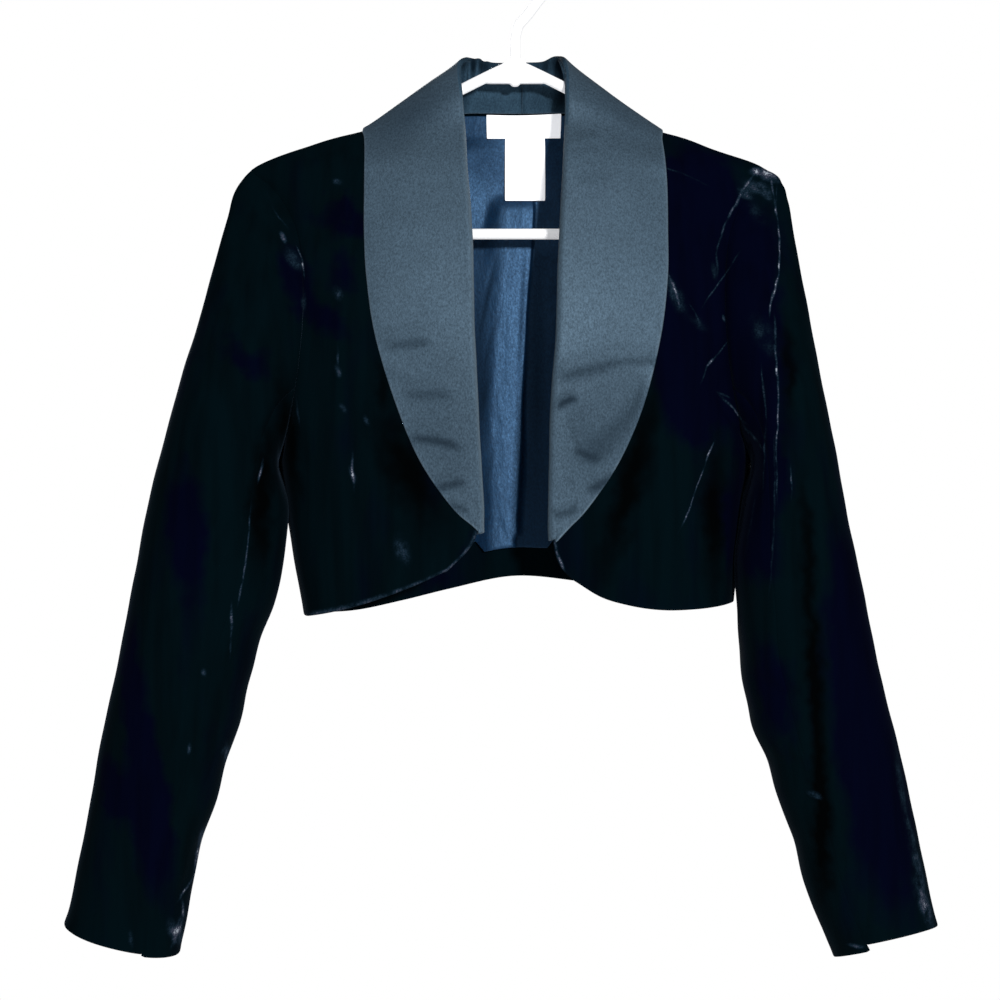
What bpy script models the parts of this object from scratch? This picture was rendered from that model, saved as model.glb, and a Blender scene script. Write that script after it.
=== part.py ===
"""Cropped bolero jacket of dark velvet with a satin shawl collar, hung on a plain tubular hanger.

Sizes are in millimetres and MM turns them into metres when a mesh is made.
+X is to the right as the front is looked at, -Y is the front and +Z is up.
The origin is the top of the inside of the hook, where a rail carries the hanger.
"""
import bmesh
import bpy
import numpy as np

for old in list(bpy.data.objects):
    bpy.data.objects.remove(old)

MM = 0.001

# Cloth walls and the gaps at their seams
CLOTH = 2.0
LINING_CLOTH = 1.2
LABEL_CLOTH = 1.0
SEAM_GAP = 0.4

# How far the jacket hangs forward of the hanger
CLOTH_FORWARD_Y = -2.5

# Heights on the body
BACK_NECK_Z = -118.0
NECK_Z = -122.0
SHOULDER_Z = -170.0
ARMPIT_Z = -398.0
CHEST_Z = -440.0

# How far the armhole cuts into the front and the back, in degrees round the body
ARMHOLE_FRONT = 36.0
ARMHOLE_BACK = 33.0

# Collar: fold radius, how deep it laps inside the body, and where its back seam falls
FOLD_RADIUS = 3.6
COLLAR_LAP_IN = 3.4
COLLAR_SEAM_X = 6.0

# Lining and labels
LINING_ABOVE_HEM = 22.0
LINING_CLEAR = 1.8
LINING_TOP_Z = -121.5
LINING_SHOULDER_DROP = 10.0
PLEAT_X = 11.0
PLEAT_DEPTH = 5.0
PLEAT_TOP_Z = -190.0
LABEL_CENTRE_X = 6.7
LABEL_WIDTH = 58.0
LABEL_TOP_Z = -120.5
LABEL_HEIGHT = 17.5
CARE_CENTRE_X = 8.3
CARE_WIDTH = 35.0
CARE_HEIGHT = 48.5

# Hanger
TUBE_RADIUS = 4.25
ARM_APEX_Z = -88.0
ARM_SLOPE = 0.53
BAR_Z = -219.7
END_RADIUS = 18.0
HOOK_RADIUS = 25.25


def table(columns, *rows):
    """A short table as one array for each named column."""
    return dict(zip(columns.split(), np.array(rows, float).T))


# Rings of the body from the hem up: half widths to each side, depths to the front and back, squareness
TORSO = table(
    "z left right front back square",
    (-520, 160, 166, 71, 62, 0.04),
    (-480, 168, 171, 70, 63, 0.04),
    (-440, 175, 175, 68.5, 63.5, 0.04),
    (-398, 180, 179, 66, 63, 0.04),
    (-350, 186, 184, 62.5, 61.5, 0.04),
    (-300, 191, 189, 58.5, 59.5, 0.03),
    (-250, 196, 194, 53.5, 57, 0),
    (-207, 200, 197, 46.5, 54.5, -0.05),
    (-185, 202, 198.5, 41.5, 52.5, -0.07),
    (-170, 203, 199, 37, 51, -0.08),
    (-155, 167, 157, 31, 49, -0.08),
    (-139, 121, 113.5, 24, 46.5, -0.07),
    (-128, 98, 95, 17, 45, -0.05),
    (-119, 81, 81, 10, 43, -0.03),
    (-112, 68, 68, 5, 42, 0),
)

# Soft folds that open towards the hem: place round the body, half width, depth and where each starts
BODY_FOLDS = table(
    "angle width depth top",
    (58, 11, 4.0, -330),
    (-62, 12, 4.5, -340),
    (-34, 8, 2.0, -455),
    (128, 13, 5.0, -300),
    (158, 10, 5.5, -330),
    (196, 12, 4.5, -310),
    (231, 13, 5.0, -320),
)

# Front edges under the collar and round the cut-away corner
FRONT_EDGE = table(
    "z left right",
    (-485, 58, 43),
    (-476, 50, 35),
    (-465, 38.5, 30.5),
    (-456, 32, 29.3),
    (-448, 29.5, 29),
    (-436, 29.5, 29.5),
    (-400, 31.5, 31.5),
    (-350, 33.5, 33.5),
    (-300, 36.5, 36.5),
    (-250, 38.5, 38.5),
    (-207, 42, 42),
    (-170, 51, 51),
    (-150, 60, 60),
    (-135, 70, 70),
    (-125, 82.5, 82.5),
    (-119, 86, 86),
)
CORNER_Z = {-1: -478.0, 1: -485.0}

# Hems by distance from the middle
HEM_RIGHT = table("x z", (43, -485), (63, -496.8), (84, -503), (114, -507), (137, -506.5), (170, -503))
HEM_LEFT = table("x z", (51, -478), (71, -487), (92, -495), (112, -501.5), (137, -508), (163, -513))
HEM_BACK = table(
    "x z",
    (-163, -513),
    (-137, -513),
    (-92, -505),
    (-53, -496),
    (0, -485.5),
    (53, -490),
    (110, -498),
    (170, -503),
)

# Sleeve sections from armhole to cuff: outer and inner edge, half depth, middle depth and front dip
SLEEVE_LEFT = table(
    "outer_x outer_z inner_x inner_z depth y dip",
    (203, -170, 180, -398, 38, 2, 0),
    (215, -187, 182, -400, 42, 1, 0),
    (221.5, -208, 183.5, -403, 45, 0, 0),
    (231, -244, 184, -409, 48, -1, 0),
    (243, -287, 182.5, -418, 50.5, -2, 0),
    (256, -334, 180, -431, 52, -3, 0),
    (271, -388, 178.5, -450, 52.5, -4, 0),
    (284, -441, 179.5, -474, 52, -5, 0),
    (292, -483, 186.5, -508, 51, -6, 0),
    (299.5, -524, 199.5, -547, 50, -8, 0),
    (308, -567, 209.5, -589, 48.5, -10, 0),
    (316, -609, 222.5, -630, 46.5, -12, 0),
    (323.5, -651, 235, -671, 44, -14, 0),
    (331, -695, 246.5, -714, 41.5, -17, 0),
    (338, -731, 253.5, -751, 39.5, -20, 1),
    (342.5, -747.5, 257, -769, 38.5, -22, 4.5),
)
SLEEVE_RIGHT = table(
    "outer_x outer_z inner_x inner_z depth y dip",
    (199, -170, 179, -398, 38, 2, 0),
    (210.5, -187, 181, -400, 42, 0, 0),
    (215.5, -209, 182.5, -403, 45, -3, 0),
    (220, -245, 182.5, -409, 48, -7, 0),
    (225.5, -288, 181.5, -418, 50.5, -11, 0),
    (233.5, -335, 180, -431, 52, -15, 0),
    (243.5, -389, 177.5, -450, 52.5, -18, 0),
    (252.5, -438, 174.3, -474, 52, -20, 0),
    (261.5, -481, 172.3, -508, 51, -21, 0),
    (270, -525, 172, -549, 50, -22, 0),
    (279.5, -568, 180.5, -592, 48.5, -23, 0),
    (289.5, -609, 193, -632, 46.5, -24, 0),
    (298.5, -650, 207, -673, 44, -25, 0),
    (308, -693, 220, -716, 41.5, -26, -1),
    (316.5, -730, 235, -753, 39.5, -27, -4),
    (322, -749, 242, -767, 38.5, -28, -7),
)
CAP_SECTIONS = 5.0
FRONT_SEAM_TURN = 120.0
BACK_SEAM_TURN = 225.0
UNDER_SLEEVE_DROP = {-1: 2.0, 1: 5.5}

# Sleeve folds: section, turn round the sleeve, half length in sections, half width in degrees, depth
SLEEVE_FOLDS = {
    -1: table(
        "at turn along around depth",
        (8.6, 168, 0.45, 42, -2.5),
        (9.6, 175, 0.40, 38, -2.5),
        (10.9, 170, 0.45, 36, -2.0),
        (12.3, 176, 0.45, 32, -2.0),
        (5.6, 100, 2.4, 12, -3.0),
        (8.0, 262, 2.0, 16, -3.5),
    ),
    1: table(
        "at turn along around depth",
        (8.8, 172, 0.40, 40, -2.0),
        (10.1, 165, 0.35, 46, 2.5),
        (10.9, 172, 0.40, 38, -3.0),
        (12.4, 174, 0.45, 32, -2.0),
        (6.2, 80, 2.6, 12, -3.0),
        (8.6, 266, 2.2, 16, -3.5),
    ),
}

# Collar from centre back to its tip: fold line, outer edge, neck seam and how far the edge stands off;
# a face of +1 is behind and -1 in front
COLLAR = table(
    "fold_x fold_y fold_z edge_x edge_z edge_face seam_x seam_z seam_face off",
    (0, 48, -76.5, 0, -147, 1, 0, -118.5, 1, 4.6),
    (20, 45.5, -76.5, 37, -147, 1, 28, -119, 1, 4.6),
    (35, 34, -78, 74, -145, 1, 54, -120.7, 1, 4.6),
    (42, 12, -84, 103, -141, 1, 77, -122.6, 1, 4.4),
    (43, -4, -95.5, 200, -137.5, 1, 200, -123.4, 1, 3.8),
    (41, -16, -115, 115.5, -148, -1, 80.5, -128.5, -1, 3.4),
    (39, 0, -140, 116, -164, -1, 66, -146, -1, 3),
    (37, 0, -170, 115, -188, -1, 54.5, -173, -1, 2.9),
    (34, 0, -210, 114.5, -223, -1, 48, -212, -1, 2.9),
    (32, 0, -255, 112, -259, -1, 46, -256, -1, 2.9),
    (30.5, 0, -300, 105.5, -303, -1, 45, -300, -1, 2.9),
    (27.5, 0, -350, 90.5, -354, -1, 43, -350, -1, 2.9),
    (25.5, 0, -395, 72, -397, -1, 41, -395, -1, 2.9),
    (24.5, 0, -428, 48, -431, -1, 38.5, -428, -1, 2.9),
    (24.5, 0, -444, 35.5, -446, -1, 35.5, -444, -1, 2.9),
    (25, 0, -451, 31.5, -452, -1, 32.5, -451, -1, 2.9),
)
FRONT_FOLD_ROWS = 6


def smooth(keys, values, at):
    """A smooth curve through the values, at keys that rise."""
    gaps = np.diff(keys)
    rises = np.diff(values) / gaps
    slopes = np.empty_like(values)
    slopes[1:-1] = (rises[:-1] * gaps[1:] + rises[1:] * gaps[:-1]) / (gaps[:-1] + gaps[1:])
    slopes[0] = rises[0]
    slopes[-1] = rises[-1]
    at = np.clip(at, keys[0], keys[-1])
    i = np.clip(np.searchsorted(keys, at, side="right") - 1, 0, len(gaps) - 1)
    t = (at - keys[i]) / gaps[i]
    hold = (1 + 2 * t) * (1 - t) ** 2 * values[i] + t * t * (3 - 2 * t) * values[i + 1]
    lean = t * (1 - t) ** 2 * slopes[i] - t * t * (1 - t) * slopes[i + 1]
    return hold + gaps[i] * lean


def by_row(rows, column, at):
    """A column of a table as a smooth function of its row number."""
    return smooth(np.arange(len(rows[column]), dtype=float), rows[column], at)


def ease(t):
    t = np.clip(t, 0, 1)
    return t * t * (3 - 2 * t)


def mix(a, b, t):
    return a + (b - a) * t


def unit(v):
    return v / np.maximum(np.linalg.norm(v, axis=-1, keepdims=True), 1e-9)


def ring_x(angle, square):
    return (np.sin(angle) + square * np.sin(3 * angle)) / (1 - square)


def ring_y(angle, square):
    return -(np.cos(angle) - square * np.cos(3 * angle)) / (1 - square)


def torso(angle, z):
    """Middle surface of the body's cloth; the angle goes from centre front towards +X and round the back."""
    angle, z = np.broadcast_arrays(np.asarray(angle, float), np.asarray(z, float))
    a = np.radians(angle)
    right = smooth(TORSO["z"], TORSO["right"], z)
    left = smooth(TORSO["z"], TORSO["left"], z)
    front = smooth(TORSO["z"], TORSO["front"], z)
    back = smooth(TORSO["z"], TORSO["back"], z)
    half = np.where(np.sin(a) >= 0, right, left)
    deep = np.where(np.cos(a) >= 0, front, back)
    square = smooth(TORSO["z"], TORSO["square"], z)
    points = np.stack([half * ring_x(a, square), deep * ring_y(a, square), z], -1)
    lift = np.zeros(z.shape)
    for where, width, depth, top in zip(*BODY_FOLDS.values()):
        off = (angle - where + 180) % 360 - 180
        lift += depth * np.exp(-((off / width) ** 2)) * ease((top - z) / (top + 540))
    outward = unit(np.stack([np.sin(a) / half, -np.cos(a) / deep, np.zeros(z.shape)], -1))
    return points + lift[..., None] * outward


def torso_normal(angle, z):
    round_it = torso(angle + 0.5, z) - torso(angle - 0.5, z)
    up_it = torso(angle, z + 0.5) - torso(angle, z - 0.5)
    return unit(np.cross(round_it, up_it))


def angle_at(x, z, face):
    """The angle round the body of a point x out from the middle at height z, in front or behind."""
    x, z, face = np.broadcast_arrays(np.asarray(x, float), np.asarray(z, float), np.asarray(face, float))
    right = smooth(TORSO["z"], TORSO["right"], z)
    left = smooth(TORSO["z"], TORSO["left"], z)
    square = smooth(TORSO["z"], TORSO["square"], z)
    reach = np.minimum(np.abs(x) / np.where(x >= 0, right, left), 1)
    low = np.zeros(x.shape)
    high = np.full(x.shape, np.pi / 2)
    for _ in range(40):
        middle = (low + high) / 2
        short = ring_x(middle, square) < reach
        low = np.where(short, middle, low)
        high = np.where(short, high, middle)
    out = np.degrees(high)
    return np.where(x >= 0, 1, -1) * np.where(face < 0, out, 180 - out)


def armhole(side, turn):
    """Angle and height of the armhole: turn 0 at the shoulder, 90 in front, 180 at the armpit."""
    t = np.radians(turn)
    z = mix(ARMPIT_Z, SHOULDER_Z, 0.5 + 0.5 * np.cos(t))
    swing = np.where(np.sin(t) >= 0, ARMHOLE_FRONT, ARMHOLE_BACK) * np.sin(t)
    return side * (90 - swing), z


def under_arm(turn):
    """How far a turn is under the arm, where sleeve and body hang side by side: 1 at the armpit."""
    return ease((45 - np.abs((turn % 360) - 180)) / 35)


def sleeve_ring(side, turn, at):
    """An oval section of a sleeve, turn 0 at its outer edge and 90 in front."""
    rows = SLEEVE_RIGHT if side > 0 else SLEEVE_LEFT
    turn, at = np.broadcast_arrays(np.asarray(turn, float), np.asarray(at, float))
    t = np.radians(turn)
    size = {column: by_row(rows, column, at) for column in rows}
    x = mix(size["inner_x"], size["outer_x"], 0.5 + 0.5 * np.cos(t))
    z = mix(size["inner_z"], size["outer_z"], 0.5 + 0.5 * np.cos(t))
    y = size["y"] - size["depth"] * np.sin(t)
    return np.stack([side * x, y, z - size["dip"] * np.sin(t)], -1)


def sleeve(side, turn, at):
    """Middle surface of a sleeve: its first section is the armhole, and the shape fades into ovals."""
    turn, at = np.broadcast_arrays(np.asarray(turn, float), np.asarray(at, float))
    points = sleeve_ring(side, turn, at)
    place = armhole(side, turn)
    aside = torso_normal(*place) * under_arm(turn)[..., None] * (CLOTH + 2 * SEAM_GAP)
    cut = torso(*place) + aside - sleeve_ring(side, turn, 0)
    points = points + (1 - ease(at / CAP_SECTIONS))[..., None] * cut
    lift = np.zeros(turn.shape)
    for row, where, along, around, depth in zip(*SLEEVE_FOLDS[side].values()):
        off = (turn - where + 180) % 360 - 180
        lift += depth * np.exp(-((off / around) ** 2) - ((at - row) / along) ** 2)
    t = np.radians(turn)
    outward = np.stack([side * np.cos(t), -np.sin(t), 0 * t], -1)
    return points + lift[..., None] * outward


def sleeve_normal(side, turn, at):
    last = len(SLEEVE_LEFT["y"]) - 1
    below = np.minimum(at + 0.05, last)
    above = np.maximum(at - 0.05, 0)
    round_it = sleeve(side, turn + 0.5, at) - sleeve(side, turn - 0.5, at)
    down_it = sleeve(side, turn, below) - sleeve(side, turn, above)
    return side * unit(np.cross(round_it, down_it))


def armhole_seam(side, turn):
    """The seam's points, the normals of body and sleeve there, and the way from the seam into the sleeve.

    Both cloths share a normal round the shoulder; at the armpit they hang side by side.
    """
    turn = np.asarray(turn, float)
    angle, z = armhole(side, turn)
    body_out = torso_normal(angle, z)
    sleeve_out = sleeve_normal(side, turn, 0 * turn)
    shared = unit(body_out + sleeve_out)
    run = unit(torso(*armhole(side, turn + 0.5)) - torso(*armhole(side, turn - 0.5)))
    across = np.cross(run, shared)
    into = sleeve(side, turn, 0 * turn + 0.4) - sleeve(side, turn, 0 * turn)
    across = across * np.sign(np.sum(across * into, -1, keepdims=True))
    under = under_arm(turn)[..., None]
    across = across * (1 - under)
    body_out = unit(mix(shared, body_out, under))
    sleeve_out = unit(mix(shared, sleeve_out, under))
    return torso(angle, z), body_out, sleeve_out, across


def material(name, colour, roughness):
    made = bpy.data.materials.new(name)
    made.use_nodes = True
    shader = made.node_tree.nodes["Principled BSDF"]
    shader.inputs["Base Color"].default_value = (*colour, 1)
    shader.inputs["Roughness"].default_value = roughness
    return made


def mesh_object(name, points, faces, look):
    """A closed mesh object from points in millimetres, its faces turned outwards."""
    mesh = bpy.data.meshes.new(name)
    mesh.from_pydata([tuple(p) for p in np.asarray(points) * MM], [], faces)
    shape = bmesh.new()
    shape.from_mesh(mesh)
    bmesh.ops.recalc_face_normals(shape, faces=shape.faces)
    shape.to_mesh(mesh)
    shape.free()
    mesh.materials.append(look)
    made = bpy.data.objects.new(name, mesh)
    bpy.context.collection.objects.link(made)
    return made


def cloth(name, grid, normals, thickness, look):
    """A wall of cloth: the grid of its middle surface thickened both ways along the normals."""
    rows, columns = grid.shape[:2]
    grid = grid + (0, CLOTH_FORWARD_Y, 0)
    outer = (grid + normals * thickness / 2).reshape(-1, 3)
    inner = (grid - normals * thickness / 2).reshape(-1, 3)
    number = np.arange(rows * columns).reshape(rows, columns)
    faces = []
    for i in range(rows - 1):
        for j in range(columns - 1):
            quad = [number[i, j], number[i, j + 1], number[i + 1, j + 1], number[i + 1, j]]
            faces.append([int(n) for n in quad])
            faces.append([int(n) + rows * columns for n in reversed(quad)])
    rim = np.concatenate([number[0, :-1], number[:-1, -1], number[-1, :0:-1], number[:0:-1, 0]])
    for a, b in zip(rim, np.roll(rim, -1)):
        faces.append([int(a), int(b), int(b) + rows * columns, int(a) + rows * columns])
    return mesh_object(name, np.concatenate([outer, inner]), faces, look)


def body_rows():
    """Heights of the rows above the chest, and which turn of the armhole each one meets."""
    drop = np.array([0, 0.1, 0.25, 0.42, 0.6, 0.8])
    turns = np.arange(0, 181, 15.0)
    heights = list(mix(NECK_Z, SHOULDER_Z, drop)) + list(armhole(1, turns)[1]) + [-419.0, CHEST_Z]
    meets = [None] * len(drop) + list(turns) + [None, None]
    return heights, meets


def join_armhole(grid, normals, column, side, meets, behind):
    """Brings a column's armhole points to the seam, with the normal the sleeve has there."""
    for i, turn in enumerate(meets):
        if turn is None:
            continue
        point, body_out, _, across = armhole_seam(side, 360 - turn if behind else turn)
        if 0 < turn < 180:
            grid[i, column] = point - across * SEAM_GAP / 2
        normals[i, column] = body_out


HEM_STEPS = np.array([0.28, 0.55, 0.8, 1.0])
FRONT_COLUMNS = np.array([0, 0.05, 0.12, 0.21, 0.31, 0.42, 0.53, 0.64, 0.75, 0.86, 0.94, 1.0])


def front(name, side, look):
    """A front: from its edge under the collar out to the shoulder, armhole and side seams."""
    key = "right" if side > 0 else "left"
    hem = HEM_RIGHT if side > 0 else HEM_LEFT
    heights, meets = body_rows()
    angles = []
    levels = []
    for z, turn in zip(heights, meets):
        start = angle_at(smooth(FRONT_EDGE["z"], FRONT_EDGE[key], z), z, -1)
        end = 90 if turn is None else abs(armhole(1, turn)[0])
        angles.append(mix(start, end, FRONT_COLUMNS))
        levels.append(np.full(FRONT_COLUMNS.shape, z))
    for step in HEM_STEPS:
        edge_z = mix(CHEST_Z, CORNER_Z[side], step)
        start = angle_at(smooth(FRONT_EDGE["z"], FRONT_EDGE[key], edge_z), edge_z, -1)
        line = mix(start, 90, FRONT_COLUMNS)
        x = np.abs(torso(side * line, np.full(line.shape, -490.0))[..., 0])
        angles.append(line)
        levels.append(mix(CHEST_Z, smooth(hem["x"], hem["z"], x), step))
    angles = side * np.array(angles)
    levels = np.array(levels)
    grid = torso(angles, levels)
    normals = torso_normal(angles, levels)
    grid[:, -1, 1] -= SEAM_GAP / 2
    join_armhole(grid, normals, -1, side, meets, False)
    return cloth(name, grid, normals, CLOTH, look)


def back(name, look):
    """The back in one piece, from side to side through both shoulders and armholes."""
    across = np.linspace(0, 1, 25)
    heights, meets = body_rows()
    angles = []
    levels = []
    for i, (z, turn) in enumerate(zip(heights, meets)):
        swing = 0 if turn is None else abs(armhole(1, 360 - turn)[0]) - 90
        line = mix(90 + swing, 270 - swing, across)
        rise = (BACK_NECK_Z - NECK_Z) * np.sin(np.radians(line - 90)) ** 2
        angles.append(line)
        levels.append(z + rise * (1 - min(i, 4) / 4))
    for step in HEM_STEPS:
        line = mix(90, 270, across)
        x = torso(line, np.full(line.shape, -490.0))[..., 0]
        angles.append(line)
        levels.append(mix(CHEST_Z, smooth(HEM_BACK["x"], HEM_BACK["z"], x), step))
    angles = np.array(angles)
    levels = np.array(levels)
    grid = torso(angles, levels)
    normals = torso_normal(angles, levels)
    grid[:, 0, 1] += SEAM_GAP / 2
    grid[:, -1, 1] += SEAM_GAP / 2
    join_armhole(grid, normals, 0, 1, meets, True)
    join_armhole(grid, normals, -1, -1, meets, True)
    return cloth(name, grid, normals, CLOTH, look)


# Rows of a sleeve's mesh: near the armhole, down to the elbow, at the elbow's folds, and to the cuff
SLEEVE_ROWS = np.concatenate(
    [
        [0, 0.5, 1, 1.6, 2.3, 3, 3.8, 4.6, 5.4, 6.2, 7, 7.6],
        np.arange(8.2, 10.9, 0.4),
        np.arange(11, 15.1, 0.5),
    ]
)


def sleeve_panel(name, side, first, last, drop, look):
    """One panel of a two-piece sleeve between two turns, its hem let down by a drop."""
    turns = np.arange(first, last + 1, 15.0)
    turn, at = np.meshgrid(turns, SLEEVE_ROWS)
    grid = sleeve(side, turn, at)
    normals = sleeve_normal(side, turn, at)
    run = unit(sleeve(side, turn + 0.5, at) - sleeve(side, turn - 0.5, at))
    apart = (SEAM_GAP * mix(2.0, 0.7, ease(SLEEVE_ROWS / 3)))[:, None]
    grid[:, 0] += run[:, 0] * apart
    grid[:, -1] -= run[:, -1] * apart
    _, _, sleeve_out, across = armhole_seam(side, turns)
    grid[0] += across * SEAM_GAP / 2
    normals[0] = sleeve_out
    hang = ease((at - 13) / 2)[..., None] * drop
    grid += hang * unit(sleeve(side, turn, 0 * at + 15) - sleeve(side, turn, 0 * at + 14))
    return cloth(name, grid, normals, CLOTH, look)


def bezier(a, b, c, d, t):
    return (1 - t) ** 3 * a + 3 * t * (1 - t) ** 2 * b + 3 * t * t * (1 - t) * c + t ** 3 * d


def collar_line(side, face_column, x_column, z_column, at):
    """Angle and height along one edge of the collar."""
    angle = angle_at(COLLAR[x_column], COLLAR[z_column], COLLAR[face_column])
    row = np.arange(len(angle), dtype=float)
    return side * smooth(row, angle, at), smooth(row, COLLAR[z_column], at)


def collar_fold(side, at):
    """The roll line: free behind the neck, and on the body's surface down the front."""
    fold = np.stack([COLLAR["fold_x"], COLLAR["fold_y"], COLLAR["fold_z"]], -1)
    lower = fold[FRONT_FOLD_ROWS:]
    fold[FRONT_FOLD_ROWS:] = torso(angle_at(lower[:, 0], lower[:, 2], -1), lower[:, 2])
    row = np.arange(len(fold), dtype=float)
    line = np.stack([smooth(row, fold[:, k], at) for k in range(3)], -1)
    return line * (side, 1, 1)


def collar(name, side, look):
    """Half the shawl collar: neck seam, stand, fold and fall, from centre back to its tip."""
    at = np.concatenate([np.linspace(0, 5, 11), np.linspace(5.5, 13, 14), [13.5, 14, 14.5, 15]])
    stand_steps = np.linspace(0, 1, 5)
    fold_steps = np.linspace(0, 1, 5)[1:]
    fall_steps = np.linspace(0, 1, 7)[1:]
    edge_at = collar_line(side, "edge_face", "edge_x", "edge_z", at)
    seam_at = collar_line(side, "seam_face", "seam_x", "seam_z", at)
    edge_out = torso_normal(*edge_at)
    seam_out = torso_normal(*seam_at)
    edge = torso(*edge_at) + edge_out * by_row(COLLAR, "off", at)[:, None]
    seam = torso(*seam_at) - seam_out * COLLAR_LAP_IN
    fold = collar_fold(side, at)
    up = unit(fold - (edge + seam) / 2)
    over = unit(edge_out - up * np.sum(edge_out * up, -1, keepdims=True))
    heart = fold - up * FOLD_RADIUS
    inner = heart - over * FOLD_RADIUS
    outer = heart + over * FOLD_RADIUS
    to_fold = inner - seam
    along = to_fold - seam_out * np.sum(to_fold * seam_out, -1, keepdims=True)
    stand_a = seam + along * 0.2
    stand_b = inner - up * np.linalg.norm(to_fold, axis=-1, keepdims=True) * 0.3
    to_edge = outer - edge
    length = np.linalg.norm(to_edge, axis=-1, keepdims=True)
    along = to_edge - edge_out * np.sum(to_edge * edge_out, -1, keepdims=True)
    fall_a = outer - up * length * 0.3 + over * length * 0.01
    fall_b = edge + along * 0.4
    lines = [bezier(seam, stand_a, stand_b, inner, t) for t in stand_steps]
    for t in fold_steps:
        lines.append(heart - over * FOLD_RADIUS * np.cos(np.pi * t) + up * FOLD_RADIUS * np.sin(np.pi * t))
    lines += [bezier(outer, fall_a, fall_b, edge, t) for t in fall_steps]
    grid = np.stack(lines, 1)
    grid[..., 0] += COLLAR_SEAM_X * (1 - ease(at / 1.8))[:, None]
    grid[0, :, 0] = COLLAR_SEAM_X + side * SEAM_GAP / 2
    normals = side * unit(np.cross(np.gradient(grid, axis=0), np.gradient(grid, axis=1)))
    normals[0, :, 0] = 0
    return cloth(name, grid, unit(normals), CLOTH, look)


def back_lining(name, look):
    """The back lining, inside the back, with an ease pleat that falls from below the labels."""
    heights, meets = body_rows()
    inside = CLOTH / 2 + LINING_CLEAR + LINING_CLOTH / 2
    angles = []
    levels = []
    pairs = [(z, turn) for z, turn in zip(heights, meets) if z < LINING_TOP_Z - 14]
    for z, turn in [(LINING_TOP_Z, None)] + pairs:
        swing = 14 if z > SHOULDER_Z else 6
        swing += 0 if turn is None else abs(armhole(1, 360 - turn)[0]) - 90
        folds = [float(angle_at(x, z, 1)) % 360 for x in (PLEAT_X + 2, PLEAT_X, PLEAT_X - 20)]
        to_pleat = np.linspace(90 + swing, folds[0], 8)
        over_pleat = np.linspace(folds[1], folds[2], 3)
        past_pleat = np.linspace(folds[2], 270 - swing, 9)[1:]
        line = np.concatenate([to_pleat, over_pleat, past_pleat])
        drop = LINING_SHOULDER_DROP if z == LINING_TOP_Z else 0
        angles.append(line)
        levels.append(z - drop * np.cos(np.radians(line - 90)) ** 4)
    last = angles[-1]
    x = torso(last, np.full(last.shape, -470.0))[..., 0]
    foot = smooth(HEM_BACK["x"], HEM_BACK["z"], x) + LINING_ABOVE_HEM
    angles.append(last)
    levels.append(foot)
    angles = np.array(angles)
    levels = np.array(levels)
    normals = torso_normal(angles, levels)
    grid = torso(angles, levels) - normals * inside
    rise = np.zeros(angles.shape)
    rise[:, 8] = PLEAT_DEPTH
    rise[:, 9] = PLEAT_DEPTH * 0.6
    grid -= normals * (rise * ease((PLEAT_TOP_Z - levels) / 50))[..., None]
    return cloth(name, grid, normals, LINING_CLOTH, look)


def label(name, centre, width, top, height, inside, hang, look):
    """A bare tape on the lining, its lower edge hanging a little free."""
    across = np.linspace(centre - width / 2, centre + width / 2, 7)
    x, z = np.meshgrid(across, top - np.linspace(0, height, 4))
    angles = angle_at(x, z, 1) % 360
    normals = torso_normal(angles, z)
    grid = torso(angles, z) - normals * (inside + hang * ((top - z) / height)[..., None])
    return cloth(name, grid, normals, LABEL_CLOTH, look)


def tube(name, path, closed, look):
    """A round tube along a path in the XZ plane."""
    path = np.asarray(path, float)
    sides = 10
    ahead = np.roll(path, -1, 0)
    behind = np.roll(path, 1, 0)
    if not closed:
        ahead[-1] = path[-1]
        behind[0] = path[0]
    run = unit(ahead - behind)
    flank = np.stack([-run[:, 2], 0 * run[:, 0], run[:, 0]], -1)
    turn = np.radians(np.arange(sides) * 360 / sides)
    rings = path[:, None] + TUBE_RADIUS * (
        flank[:, None] * np.cos(turn)[None, :, None] + np.array([0, 1, 0]) * np.sin(turn)[None, :, None]
    )
    count = len(path)
    faces = []
    for i in range(count if closed else count - 1):
        for j in range(sides):
            k = (i + 1) % count
            m = (j + 1) % sides
            faces.append([i * sides + j, i * sides + m, k * sides + m, k * sides + j])
    if not closed:
        faces.append(list(range(sides)))
        faces.append([(count - 1) * sides + j for j in range(sides)])
    return mesh_object(name, rings.reshape(-1, 3), faces, look)


def arc(x, z, radius, start, end, count):
    turn = np.radians(np.linspace(start, end, count))
    return np.stack([x + radius * np.cos(turn), 0 * turn, z + radius * np.sin(turn)], -1)


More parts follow.
